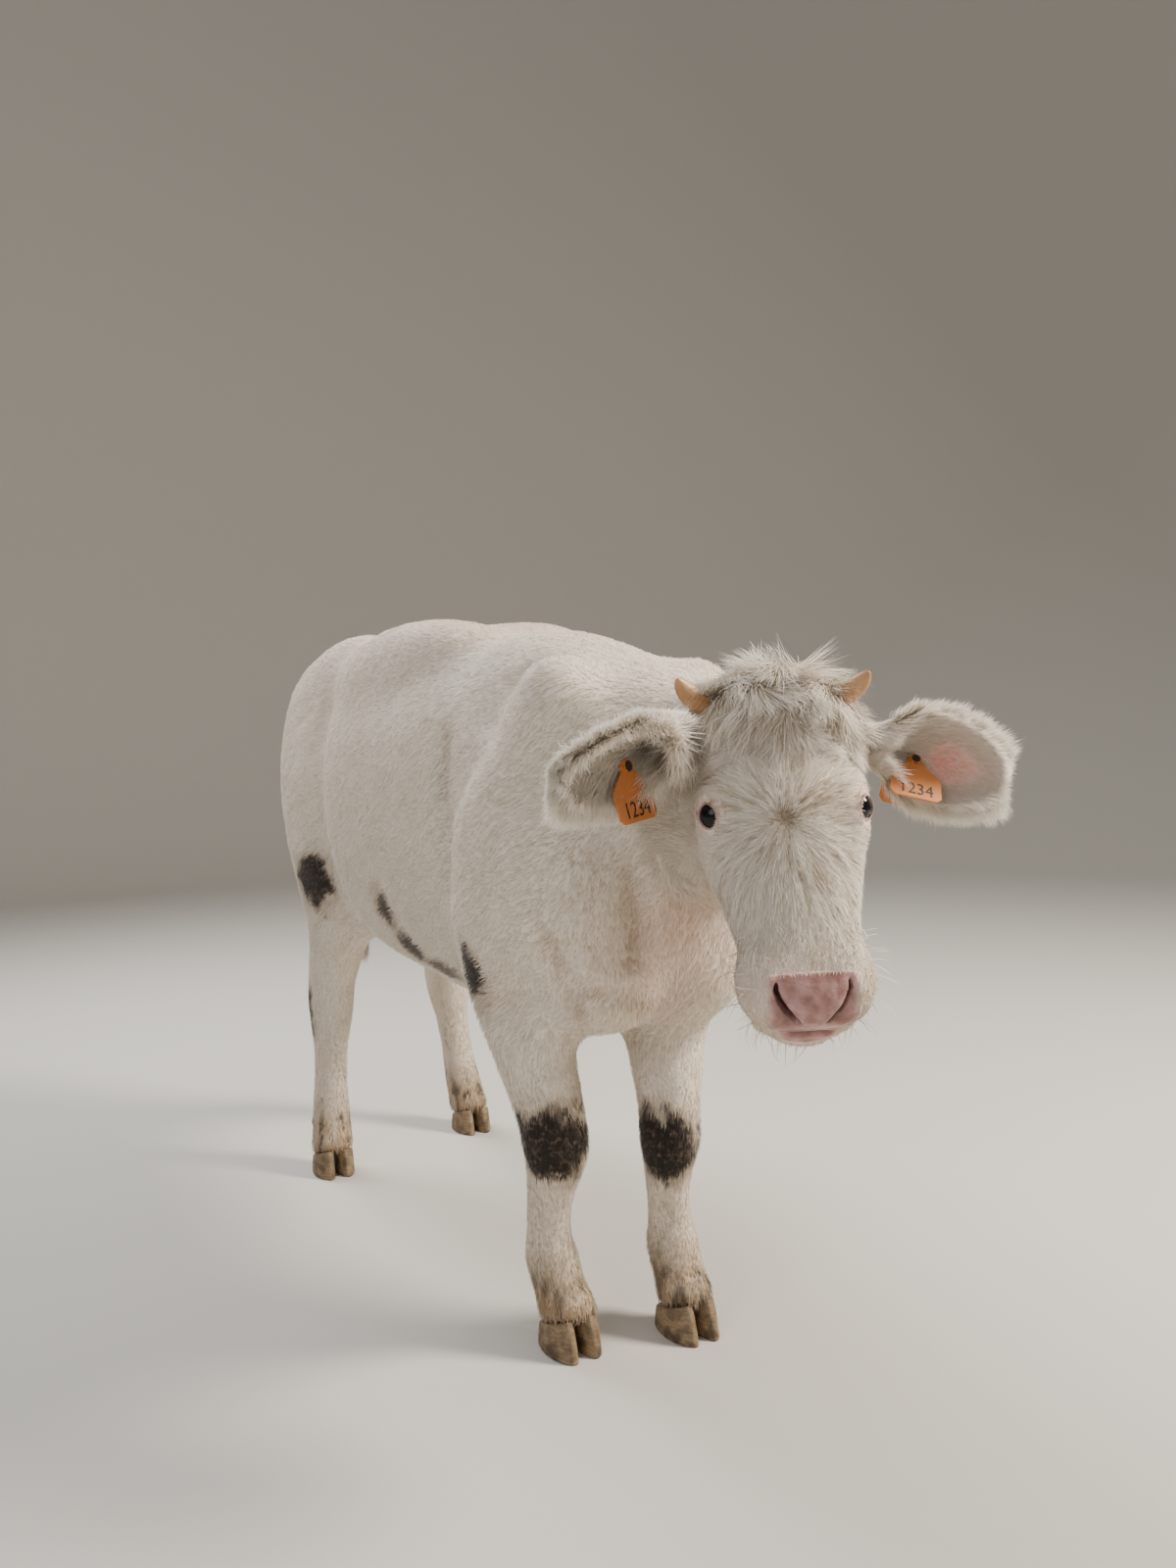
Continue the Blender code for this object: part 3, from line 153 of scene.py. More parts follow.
# Place, size, power and colour of each lamp
LAMPS = (
    ((2.5, -1.9, 2.9), 1.1, 300.0, "fff5e8"),
    ((-3.0, -1.8, 2.2), 2.4, 42.0, "f1f5ff"),
    ((-0.6, 2.6, 3.2), 1.8, 150.0, "ffffff"),
)

# Tufts to a square metre on the body, added on the legs and the tail, and on the head and poll
DENSITY, LEG_EXTRA, TAIL_EXTRA, HEAD_DENSITY, POLL_DENSITY = 72000, 28000, 20000, 300000, 330000
WHISKER_DENSITY = 5200.0
# Tufts on each face of an ear, on its rim and at the end of the tail, and lashes of one eye
LEAF_INNER, LEAF_OUTER, FRINGE, SWITCH, LASHES = 24000, 12000, 11000, 2600, 60
SEEDS = {"coat": 21, "ears": 5, "switch": 8, "whiskers": 12}
# Most triangles of one coat piece, and how far ear hair may pass the solid ear
PIECE_LIMIT = 190000
EAR_ROOM = 0.007
NOISE_PRIMES = np.array((73856093, 19349663, 83492791))

BACK = np.array((0.0, 1.0, 0.0))
DOWN = np.array((0.0, 0.0, -1.0))

# Power of the lids' rounded opening: 2 is an ellipse, lower is more pointed
LID_POWER = 1.8
# Half sizes of a dewclaw, its distance to the middle of the leg and its height
DEW_SIZES, DEW_SHIFT, DEW_HEIGHT = (0.0100, 0.0085, 0.0135), 0.015, 0.088

# Print on the tags: height and place of the number, and the button over the pin
TAG_NUMBER = "1234"
NUMBER_HEIGHT, NUMBER_NARROW, NUMBER_RISE, NUMBER_THICK = 0.027, 0.80, 0.006, 0.00015
BUTTON_LOW, BUTTON_TOP, BUTTON_THICK, BUTTON_RISE = 0.0075, 0.0062, 0.0030, 0.0655

# Objects and materials that later steps need
work = {}


# Small helpers for arrays of points


def ramp(value, low, high):
    """Rises smoothly from 0 at low to 1 at high."""
    t = np.clip((value - low) / (high - low), 0.0, 1.0)
    return t * t * (3 - 2 * t)


def fall(value, low, high):
    """Falls smoothly from 1 at low to 0 at high."""
    return ramp(-value, -high, -low)


def hump(value):
    """A bell: 1 at 0, and near 0 past 2 on both sides."""
    return np.exp(-(value ** 2))


def away_from(points, place):
    return np.linalg.norm(points - place, axis=1)


def mirrored(line, sign):
    return [(x * sign, y, z) for x, y, z in line]


def unit(rows):
    return rows / np.maximum(np.linalg.norm(rows, axis=-1, keepdims=True), 1e-9)


def dot(a, b):
    return np.sum(a * b, axis=-1, keepdims=True)


def head_axes():
    """The head's three axes as columns."""
    tilt_c, tilt_s = math.cos(HEAD_TILT), math.sin(HEAD_TILT)
    turn = Matrix.Rotation(HEAD_TURN, 3, "Z")
    muzzle = Vector((0.0, -math.cos(HEAD_DIP), -math.sin(HEAD_DIP)))
    crown = Vector((0.0, -math.sin(HEAD_DIP), math.cos(HEAD_DIP)))
    side = Vector((1.0, 0.0, 0.0))
    columns = (
        turn @ (side * tilt_c + crown * tilt_s),
        turn @ muzzle,
        turn @ (crown * tilt_c - side * tilt_s),
    )
    return np.array([tuple(column) for column in columns]).T


AXES = head_axes()


def to_head(points):
    return (points - HEAD_AT) @ AXES


def from_head(points):
    return np.asarray(points) @ AXES.T + HEAD_AT


def turned(ways):
    """Ways in the head's frame, turned into the shared frame."""
    return np.asarray(ways) @ AXES.T


def soft_noise(points, step, seed=0):
    """Smooth noise between -1 and 1 whose lumps are about one step across."""
    cell = points / step + seed * 17.31
    low = np.floor(cell).astype(np.int64)
    part = cell - low
    part = part * part * (3 - 2 * part)
    total = np.zeros(len(points))
    for corner in range(8):
        offset = np.array((corner & 1, corner >> 1 & 1, corner >> 2 & 1))
        key = (low + offset) @ NOISE_PRIMES + seed * 977
        key = (key ^ (key >> 13)) * 1274126177 & 0x7FFFFFFF
        value = (key ^ (key >> 16)) % 65536 / 32768.0 - 1.0
        share = np.where(offset == 1, part, 1 - part).prod(axis=1)
        total += value * share
    return total


def line_distance(points, line):
    """Distance to a polyline, and how far along it the nearest place lies, from 0 to 1."""
    line = np.array(line, float)
    best = np.full(len(points), 1e9)
    where = np.zeros(len(points))
    count = len(line) - 1
    for i in range(count):
        start, run = line[i], line[i + 1] - line[i]
        share = np.clip((points - start) @ run / max(run @ run, 1e-12), 0, 1)
        away = np.linalg.norm(points - start - share[:, None] * run, axis=1)
        nearer = away < best
        best = np.where(nearer, away, best)
        where = np.where(nearer, (i + share) / count, where)
    return best, where


def mesh_arrays(mesh):
    """Vertex places and triangles of a mesh."""
    places = np.empty(len(mesh.vertices) * 3)
    mesh.vertices.foreach_get("co", places)
    mesh.calc_loop_triangles()
    corners = np.empty(len(mesh.loop_triangles) * 3, np.int32)
    mesh.loop_triangles.foreach_get("vertices", corners)
    return places.reshape(-1, 3), corners.reshape(-1, 3)


def surface_tree(mesh):
    """A tree that finds the nearest place on the mesh."""
    return BVHTree.FromPolygons(*[rows.tolist() for rows in mesh_arrays(mesh)])


def vertex_normals(places, triangles):
    a, b, c = (places[triangles[:, k]] for k in range(3))
    faces = np.cross(b - a, c - a)
    total = np.zeros_like(places)
    for k in range(3):
        for axis in range(3):
            total[:, axis] += np.bincount(triangles[:, k], faces[:, axis], len(places))
    return unit(total)


def neighbour_mean(values, edges, count):
    """The mean over each vertex's neighbours."""
    total = np.zeros_like(values)
    for axis in range(values.shape[1]):
        total[:, axis] = np.bincount(edges[:, 0], values[edges[:, 1], axis], len(values))
        total[:, axis] += np.bincount(edges[:, 1], values[edges[:, 0], axis], len(values))
    return total / count[:, None]


def mesh_edges(mesh):
    edges = np.empty(len(mesh.edges) * 2, np.int32)
    mesh.edges.foreach_get("vertices", edges)
    edges = edges.reshape(-1, 2)
    count = np.bincount(edges.ravel(), minlength=len(mesh.vertices))
    return edges, np.maximum(count, 1)


def smoothed(places, mesh, shares, rounds):
    """Moves every vertex towards its neighbours' mean, by its own share, several times."""
    edges, count = mesh_edges(mesh)
    for _ in range(rounds):
        places = places + (neighbour_mean(places, edges, count) - places) * shares[:, None]
    return places


def put_places(mesh, places):
    mesh.vertices.foreach_set("co", np.asarray(places, float).ravel())
    mesh.update()


def put_attribute(mesh, name, values):
    layer = mesh.attributes.new(name, "FLOAT", "POINT")
    layer.data.foreach_set("value", np.asarray(values, np.float32))


def new_object(name, mesh):
    obj = bpy.data.objects.new(name, mesh)
    bpy.context.scene.collection.objects.link(obj)
    return obj


def mesh_from_bmesh(name, bm):
    mesh = bpy.data.meshes.new(name)
    bm.to_mesh(mesh)
    bm.free()
    return mesh


def sewn(node):
    """The node's shape with its loose triangles sewn together."""
    bm = bmesh.new()
    bm.from_mesh(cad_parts[node].data)
    bmesh.ops.remove_doubles(bm, verts=bm.verts[:], dist=0.00001)
    return bm


def cad_copy(node):
    return mesh_from_bmesh(node + "_copy", sewn(node))


def bevelled(node, ending, width, segments, degrees):
    """A copy of a node's solid with its edges rounded."""
    piece = new_object(node + ending, cad_copy(node))
    bevel = piece.modifiers.new("Bevel", "BEVEL")
    bevel.width = width
    bevel.segments = segments
    bevel.limit_method = "ANGLE"
    bevel.angle_limit = math.radians(degrees)
    return piece


def evaluated(obj):
    """The object's mesh with its modifiers, as a mesh of its own."""
    graph = bpy.context.evaluated_depsgraph_get()
    return bpy.data.meshes.new_from_object(obj.evaluated_get(graph))


def finished(obj, material, smooth=True):
    """Material, shading, slot and body of a finished piece."""
    obj.data.materials.clear()
    obj.data.materials.append(material)
    if smooth:
        obj.data.shade_smooth()
    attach(obj, "root")


# Materials


def to_linear(code):
    """Linear red, green and blue of an sRGB hex colour."""
    values = []
    for start in (0, 2, 4):
        value = int(code[start : start + 2], 16) / 255
        values.append(value / 12.92 if value <= 0.04045 else ((value + 0.055) / 1.055) ** 2.4)
    return tuple(values)


def feed(tree, socket, value):
    """Links another node's output to the socket, or sets a constant on it."""
    if hasattr(value, "is_output"):
        tree.links.new(value, socket)
    else:
        socket.default_value = value


def add_node(tree, kind, links=(), **settings):
    """Adds a node, sets its own values and feeds its sockets."""
    node = tree.nodes.new(kind)
    for key, value in settings.items():
        setattr(node, key, value)
    for socket, value in links:
        feed(tree, node.inputs[socket], value)
    return node


def new_material(name):
    material = bpy.data.materials.new(name)
    material.use_nodes = True
    tree = material.node_tree
    return material, tree, tree.nodes["Principled BSDF"]


def set_inputs(material, values):
    """Feeds the sockets of the material's shader."""
    tree = material.node_tree
    for name, value in values.items():
        feed(tree, tree.nodes["Principled BSDF"].inputs[name], value)


def rgba(colour):
    return (*colour, 1.0)


def mixed(tree, share, first, second, kind="MIX"):
    """Output of a colour mix: first where the share is 0, second where it is 1."""
    node = add_node(tree, "ShaderNodeMix", data_type="RGBA", blend_type=kind)
    feed(tree, node.inputs[0], share)
    for socket, value in ((6, first), (7, second)):
        feed(tree, node.inputs[socket], value if hasattr(value, "is_output") else rgba(value))
    return node.outputs[2]


def attribute(tree, name):
    return add_node(tree, "ShaderNodeAttribute", attribute_name=name).outputs["Fac"]


def object_noise(tree, scale, detail=3.0):
    """Noise of the object's own coordinates, about 0 to 1."""
    place = add_node(tree, "ShaderNodeTexCoord").outputs["Object"]
    links = (("Vector", place), ("Scale", scale), ("Detail", detail))
    return add_node(tree, "ShaderNodeTexNoise", links).outputs["Fac"]


def mapped(tree, value, low, high, first=0.0, last=1.0):
    """The value mapped from low..high to first..last, and kept between them."""
    links = ((0, value), (1, low), (2, high), (3, first), (4, last))
    return add_node(tree, "ShaderNodeMapRange", links).outputs[0]


def bumped(tree, shader, height, strength, distance):
    links = (("Height", height), ("Strength", strength), ("Distance", distance))
    node = add_node(tree, "ShaderNodeBump", links)
    tree.links.new(node.outputs["Normal"], shader.inputs["Normal"])


def coat_colour(tree, colours):
    """Cream hair, warmer and pinker by its attributes, under dried dirt; the dirt and stain colours
    also lay painted shade.
    """
    base = mixed(tree, attribute(tree, "tint"), colours.coat_shade, colours.coat_light)
    pink = mixed(tree, attribute(tree, "flush"), base, colours.flush)
    stained = mixed(tree, attribute(tree, "stain"), pink, colours.stain)
    crust = mapped(tree, object_noise(tree, 130.0), 0.52, 0.72)
    mud = mixed(tree, crust, colours.dirt, colours.dirt_pale_and_shade)
    return mixed(tree, attribute(tree, "dirt"), stained, mud)


def coat_material(colours, name, root, share):
    """White calf hair: rough, with some light passing through, a soft sheen, and painted shade that
    darkens each tuft towards its root.
    """
    material, tree, shader = new_material(name)
    # Painted shade: near the root the hair colour is multiplied by the root colour, fading to none
    # at the tip
    shade = mixed(tree, attribute(tree, "rise"), root, (1.0, 1.0, 1.0))
    colour = mixed(tree, 1.0, coat_colour(tree, colours), shade, "MULTIPLY")
    set_inputs(material, {"Base Color": colour, "Roughness": 0.62, "Specular IOR Level": 0.35,
                          "Sheen Weight": 0.25, "Sheen Roughness": 0.5})
    through = add_node(tree, "ShaderNodeBsdfTranslucent", (("Color", colour),))
    links = ((0, share), (1, shader.outputs["BSDF"]), (2, through.outputs["BSDF"]))
    blend = add_node(tree, "ShaderNodeMixShader", links)
    output = tree.nodes["Material Output"]
    tree.links.new(blend.outputs[0], output.inputs["Surface"])
    return material


def skin_material(colours):
    """Skin under the coat, seen as hair roots, and the bare pebbled leather of the nose, with
    painted shade in the nostrils and along the mouth.
    """
    material, tree, shader = new_material("calf skin")
    coat = coat_colour(tree, colours)
    blotch = mapped(tree, object_noise(tree, 55.0, 6.0), 0.38, 0.64)
    blotch = mixed(tree, blotch, colours.nose, colours.nose_dark)
    bare = attribute(tree, "bare")
    colour = mixed(tree, bare, coat, blotch)
    # Painted shade: deep darkens the nostrils, the hollows beside their wings and the mouth line to
    # the inside colour
    colour = mixed(tree, attribute(tree, "deep"), colour, colours.inside)
    rough = mapped(tree, bare, 0.0, 1.0, 0.85, 0.38)
    set_inputs(material, {"Base Color": colour, "Roughness": rough})
    place = add_node(tree, "ShaderNodeTexCoord").outputs["Object"]
    links = (("Vector", place), ("Scale", 420.0))
    pebble = add_node(tree, "ShaderNodeTexVoronoi", links, feature="SMOOTH_F1")
    bumped(tree, shader, pebble.outputs["Distance"], 0.35, 0.0009)
    return material


def plain_material(name, colour, rough, spot=None, scale=40.0, bump=0.0):
    """One colour broken up by another, with a fine bump."""
    material, tree, shader = new_material(name)
    base = mixed(tree, object_noise(tree, scale), colour, spot) if spot else rgba(colour)
    set_inputs(material, {"Base Color": base, "Roughness": rough})
    if bump:
        bumped(tree, shader, object_noise(tree, scale * 8), 0.4, bump)
    return material


# Settings of the pieces


def length(name, text, default):
    return bpy.props.FloatProperty(name=name, description=text, default=default, unit="LENGTH")


def colour_setting(name, text, code):
    settings = {"subtype": "COLOR", "size": 3, "min": 0.0, "max": 1.0}
    return bpy.props.FloatVectorProperty(
        name=name, description=text, default=to_linear(code), **settings
    )


class CalfSizes(bpy.types.PropertyGroup):
    """Sizes of the skin, the coat and the small pieces."""

    skin_step: length("Skin step", "Mesh size of the skin", 0.010)
    body_depth: length("Body depth", "Depth of the coat on the body", 0.0028)
    leg_depth: length("Leg depth", "Depth of the coat on the legs", 0.0020)
    face_depth: length("Face depth", "Depth of the coat on the face", 0.0025)
    body_hair: length("Body hair", "Length of the tufts on the body", 0.016)
    leg_hair: length("Leg hair", "Length of the tufts on the lower legs", 0.012)
    face_hair: length("Face hair", "Length of the tufts on the face", 0.017)
    poll_hair: length("Poll hair", "Length of the tufts between the horns", 0.043)
    ear_hair: length("Ear hair", "Length of the fringe of the ears", 0.031)
    switch_hair: length("Switch hair", "Length of the hair at the end of the tail", 0.110)
    hair_width: length("Hair width", "Width of one tuft at its root", 0.0013)
    eye_radius: length("Eye radius", "Radius of the eyeball", 0.0185)
    eye_wide: length("Eye width", "Half the width of the open lids", 0.0148)
    eye_high: length("Eye height", "Half the height of the open lids", 0.0127)
    horn_radius: length("Horn radius", "Radius of a horn at its root", 0.0128)
    ear_left: length("Left ear", "Length of the leaf of the left ear", 0.178)
    ear_right: length("Right ear", "Length of the leaf of the right ear", 0.198)
    ear_width: length("Ear width", "Width of the leaf of an ear", 0.106)
    ear_wall: length("Ear wall", "Thickness of the leaf without its hair", 0.0046)


class CalfColours(bpy.types.PropertyGroup):
    """Colours of the calf."""

    coat_light: colour_setting("Light hair", "Lit hair of the coat", "fdfaf4")
    coat_shade: colour_setting("Shaded hair", "Darker hair of the coat", "e0d5c3")
    flush: colour_setting("Flush", "Pink skin that shows through", "dcae96")
    # Also painted shade along the folds and at the whorl
    stain: colour_setting("Stain", "Tan stain of straw and mud", "a58a66")
    # Also painted shade at the whorl, between its locks and in the ears' folds by the pins
    dirt: colour_setting("Dirt", "Dried manure", "261d16")
    # Painted shade over the roots of the hair
    coat_root_shade: colour_setting("Hair roots", "Tint over the roots of the hair", "d9ccb8")
    # Mixed into the dirt colour, so also into its painted shade
    dirt_pale_and_shade: colour_setting("Dry dirt", "Dried crust over the dirt", "6b5a48")
    nose: colour_setting("Nose", "Bare leather of the nose", "b98f8a")
    nose_dark: colour_setting("Nose mottle", "Darker leather of the nose", "93675f")
    # Painted shade in the nostrils and along the mouth
    inside: colour_setting("Inside", "Depth of the nostrils and the mouth", "3c211d")
    lid: colour_setting("Lid", "Bare rim of the lids", "94746f")
    eye: colour_setting("Eye", "Iris", "090c12")
    horn: colour_setting("Horn", "Horn", "cfa377")
    horn_dark: colour_setting("Horn shade", "Darker rings of the horn", "a3774e")
    hoof: colour_setting("Hoof", "Hoof", "7b6549")
    hoof_pale: colour_setting("Worn hoof", "Paler rings of the hooves", "8b775a")
    hoof_dark: colour_setting("Hoof shade", "Stained hoof", "453628")
    ear_pink: colour_setting("Ear pink", "Skin in the hollow of the ear", "dd8c80")
    tag: colour_setting("Tag", "Soft plastic of the tags", "cc7f42")
    ink: colour_setting("Ink", "Print on the tags", "33241a")
    floor: colour_setting("Floor", "Studio floor", "c3c0ba")


# Regions of the body


def region(points):
    """Weights of the head, the poll, the legs, the belly and the tail at each point."""
    own = points - CENTRE
    local = to_head(points)
    across = np.hypot(local[:, 0], local[:, 2] * 0.9)
    head = ramp(local[:, 1], -0.05, 0.01) * fall(across, 0.150, 0.175)
    poll = fall(local[:, 1], 0.035, 0.140) * ramp(local[:, 2], 0.010, 0.055)
    poll = poll * ramp(local[:, 1], -0.085, -0.045) * fall(across, 0.125, 0.155)
    legs = fall(own[:, 2], 0.36, 0.46)
    rear = ramp(own[:, 1], 0.585, 0.612) * fall(np.abs(own[:, 0]), 0.035, 0.055)
    tail = rear * fall(own[:, 2], 0.95, 0.985)
    belly = fall(own[:, 2], 0.48, 0.56) * (1 - legs)
    return {"head": head, "poll": poll, "leg": legs, "tail": tail, "belly": belly,
            "local": local, "own": own}


def bare_nose(local):
    """Where the leather of the nose is bare, in the head's frame."""
    wide = 0.0470 - 0.45 * np.maximum(0.0, -local[:, 2])
    side = fall((np.abs(local[:, 0]) / wide) ** 4, 0.5, 1.9)
    return side * ramp(local[:, 1], 0.3440, 0.3480) * ramp(local[:, 2], -0.050, -0.044)


def eye_frame(sign):
    """Centre of an eyeball, way that it looks, ways along and across its lids."""
    centre = EYE_AT * (sign, 1, 1)
    aim = unit(EYE_AIM * (sign, 1, 1))
    along = unit(np.array((0.0, 1.0, -0.15)) - aim * (aim[1] - 0.15 * aim[2]))
    along = unit(along - aim * (along @ aim))
    across = np.cross(aim, along)
    if across[2] < 0:
        across = -across
    return centre, aim, along, across


def lid_reach(local, sign, sizes):
    """Below 1 inside the open lids and above 1 outside, with the offset from the eye."""
    centre, aim, along, across = eye_frame(sign)
    offset = local - centre
    s, t, h = offset @ along, offset @ across, offset @ aim
    wide, high = np.abs(s) / sizes.eye_wide, np.abs(t) / sizes.eye_high
    reach = np.sqrt(wide ** LID_POWER + high ** LID_POWER)
    reach = np.where(h > 0, reach ** (2 / LID_POWER), 9.0)
    return reach, offset


def dirt_and_shade_at(points, local):
    """Dried dirt between 0 and 1, and a tan stain between 0 and 1 that also holds painted shade
    along the folds.
    """
    own = points - CENTRE
    rough = 0.6 * soft_noise(points, 0.018, 3) + 0.4 * soft_noise(points, 0.007, 5)
    dirt = np.zeros(len(points))
    border = np.zeros(len(points))
    for centre, half, strength in DIRT:
        away = np.linalg.norm((own - centre) / half, axis=1)
        mask = fall(away + 0.60 * rough, 0.80, 1.15) * strength
        dirt = np.maximum(dirt, mask)
        border = np.maximum(border, fall(away + 0.5 * rough, 0.9, 1.75) * 0.5)
    speck = ramp(soft_noise(points, 0.010, 9), 0.52, 0.66)
    low = fall(own[:, 2], 0.10, 0.36) * (0.4 + 0.6 * ramp(own[:, 1], 0.05, 0.20))
    dirt = np.maximum(dirt, speck * low * 0.8)
    tears = (np.abs(local) - (0.078, 0.186, 0.032)) / (0.016, 0.020, 0.02)
    under = fall(np.linalg.norm(tears, axis=1), 0.6, 1.0)
    dirt = np.maximum(dirt, ramp(soft_noise(points, 0.006, 11), 0.35, 0.55) * under * 0.8)
    pastern = fall(own[:, 2] - 0.020 * rough, 0.06, 0.17)
    smear = ramp(soft_noise(points * (1.0, 1.0, 0.35), 0.011, 13), 0.05, 0.45)
    dirt = np.maximum(dirt, 0.75 * pastern * smear)
    stain = fall(own[:, 2], 0.06, 0.21) * (0.80 + 0.3 * rough)
    stain = np.maximum(stain, fall(own[:, 2], 0.15, 0.40) * 0.22)
    stain = np.maximum(stain, border)
    # Painted shade along the folds of the skin
    for line, _, width in FOLDS:
        away, _ = line_distance(own, line)
        stain = np.maximum(stain, 0.42 * hump(away / (0.8 * width)))
    return np.clip(dirt, 0, 1), np.clip(stain, 0, 1)


def flush_at(points, local):
    """Where pink skin shows through the hair."""
    own = points - CENTRE
    breast = (own - (0.03, -0.60, 0.56)) / (0.17, 0.16, 0.16)
    chest = fall(np.linalg.norm(breast, axis=1), 0.3, 1.1)
    chest *= 0.30 + 0.25 * soft_noise(points, 0.08, 21)
    back = ramp(own[:, 2], 0.95, 1.03) * 0.22 * (1 - fall(own[:, 1], -0.60, -0.45))
    muzzle = ramp(local[:, 1], 0.28, 0.36) * 0.15
    eye = 0.0
    for sign, _ in SIDES:
        away = away_from(local, EYE_AT * (sign, 1, 1))
        eye = eye + fall(away, 0.022, 0.034) * 0.22
    return np.clip(chest + back + (muzzle + eye) * (np.abs(local[:, 2]) < 0.15), 0, 1)


# Skin


def ring_mesh(rings, name, closed=True):
    """A skin over rings of points; the last ring joins the first when closed."""
    bm = bmesh.new()
    loops = [[bm.verts.new(Vector(point)) for point in ring] for ring in rings]
    pairs = list(zip(loops[:-1], loops[1:]))
    if closed:
        pairs.append((loops[-1], loops[0]))
    for low, high in pairs:
        for k in range(len(low)):
            j = (k + 1) % len(low)
            bm.faces.new((low[k], low[j], high[j], high[k]))
    if not closed:
        bm.faces.new(loops[0][::-1])
        bm.faces.new(loops[-1])
    bmesh.ops.recalc_face_normals(bm, faces=bm.faces[:])
    return mesh_from_bmesh(name, bm)


def round_ring(centre, way, up, radius, sides):
    """Points of a circle across a way."""
    turn = way.to_track_quat("Z", up).to_matrix()
    ring = []
    for k in range(sides):
        angle = 2 * math.pi * k / sides
        edge = Vector((radius * math.cos(angle), radius * math.sin(angle), 0.0))
        ring.append(centre + turn @ edge)
    return ring


def tail_form():
    """The tail without its hair, as rings round its bones."""
    rings = []
    for i, (centre, radius) in enumerate(TAIL):
        last = Vector(TAIL[max(0, i - 1)][0])
        following = Vector(TAIL[min(len(TAIL) - 1, i + 1)][0])
        rings.append(round_ring(Vector(centre) + Vector(CENTRE), following - last, "X", radius, 14))
    return ring_mesh(rings, "tail_form", False)


def joined(meshes, name):
    """One mesh of several, none of them sewn to the next."""
    bm = bmesh.new()
    for mesh in meshes:
        bm.from_mesh(mesh)
    return mesh_from_bmesh(name, bm)


def largest_shell(mesh):
    """Keeps the largest connected surface."""
    bm = bmesh.new()
    bm.from_mesh(mesh)
    seen, best = set(), []
    for start in bm.verts:
        if start in seen:
            continue
        stack, shell = [start], []
        seen.add(start)
        while stack:
            vert = stack.pop()
            shell.append(vert)
            for edge in vert.link_edges:
                other = edge.other_vert(vert)
                if other not in seen:
                    seen.add(other)
                    stack.append(other)
        if len(shell) > len(best):
            best = shell
    keep = set(best)
    bmesh.ops.delete(bm, geom=[v for v in bm.verts if v not in keep], context="VERTS")
    bm.to_mesh(mesh)
    bm.free()


def remeshed(mesh, step):
    """One closed surface of even squares round everything in the mesh."""
    obj = new_object("remesh", mesh)
    modifier = obj.modifiers.new("Remesh", "REMESH")
    modifier.mode = "VOXEL"
    modifier.voxel_size = step
    result = evaluated(obj)
    bpy.data.objects.remove(obj)
    largest_shell(result)
    return result


def finer(mesh, near):
    """Splits the faces near the head's features once."""
    bm = bmesh.new()
    bm.from_mesh(mesh)
    places = np.array([face.calc_center_median() for face in bm.faces])
    chosen = near(places)
    edges = set()
    for face, wanted in zip(list(bm.faces), chosen):
        if wanted:
            edges.update(face.edges)
    bmesh.ops.subdivide_edges(bm, edges=list(edges), cuts=1, use_grid_fill=True)
    bmesh.ops.triangulate(bm, faces=[f for f in bm.faces if len(f.verts) > 4])
    bm.to_mesh(mesh)
    bm.free()


def eye_distance(local):
    return np.minimum(*(away_from(local, EYE_AT * (sign, 1, 1)) for sign, _ in SIDES))


def near_head(points):
    return region(points)["head"] > 0.3


def near_features(front, round_eye):
    """Finds points of the muzzle and round the eyes."""
    def near(points):
        local = to_head(points)
        muzzle = (local[:, 1] > front) & (np.abs(local[:, 2]) < 0.12)
        return muzzle | (eye_distance(local) < round_eye)
    return near


def coat_depth(points, sizes):
    """How far the skin lies inside the solids."""
    zone = region(points)
    depth = sizes.body_depth + (sizes.leg_depth - sizes.body_depth) * zone["leg"]
    depth = depth + (sizes.face_depth - depth) * zone["head"]
    local = zone["local"]
    muzzle = ramp(local[:, 1], 0.30, 0.36) * zone["head"]
    eye = fall(eye_distance(local), 0.030, 0.045)
    depth = depth * (1 - 0.8 * muzzle) * (1 - eye)
    return depth * (1 - 0.5 * fall(zone["own"][:, 2], 0.055, 0.10))


def settled(mesh, target, sizes):
    """Lays the smooth skin inside the solids by the coat's depth."""
    places, triangles = mesh_arrays(mesh)
    zone = region(places)
    shares = 0.5 - 0.38 * zone["leg"] - 0.36 * zone["head"]
    shares = np.maximum(shares, 0.5 * zone["poll"])
    shares = np.where(zone["tail"] > 0.5, 0.05, np.clip(shares, 0.05, 0.5))
    places = smoothed(places, mesh, shares, 36)
    normals = vertex_normals(places, triangles)
    gap = np.zeros(len(places))
    for i, place in enumerate(places):
        hit, normal, _, _ = target.find_nearest(Vector(place))
        offset = place - np.array(hit)
        gap[i] = math.copysign(np.linalg.norm(offset), offset @ np.array(normal))
    gap = np.clip(gap, -0.02, 0.02)
    keep = 1 - np.maximum(zone["poll"], zone["tail"])
    edges, count = mesh_edges(mesh)
    gap = gap[:, None]
    for _ in range(10):
        gap = 0.5 * gap + 0.5 * neighbour_mean(gap, edges, count)
    move = -(coat_depth(places, sizes) + gap[:, 0]) * keep - 0.003 * zone["poll"]
    put_places(mesh, places + normals * move[:, None])


def folded(mesh):
    """Presses the folds of the neck, the brisket and the shoulder into the skin."""
    places, triangles = mesh_arrays(mesh)
    normals = vertex_normals(places, triangles)
    move = np.zeros(len(places))
    for line, depth, width in FOLDS:
        away, share = line_distance(places - CENTRE, line)
        ends = ramp(share, 0.0, 0.18) * fall(share, 0.82, 1.0)
        groove = hump(away / width) - 0.35 * hump((away - 2.2 * width) / width)
        move -= depth * groove * ends
    put_places(mesh, places + normals * move[:, None])


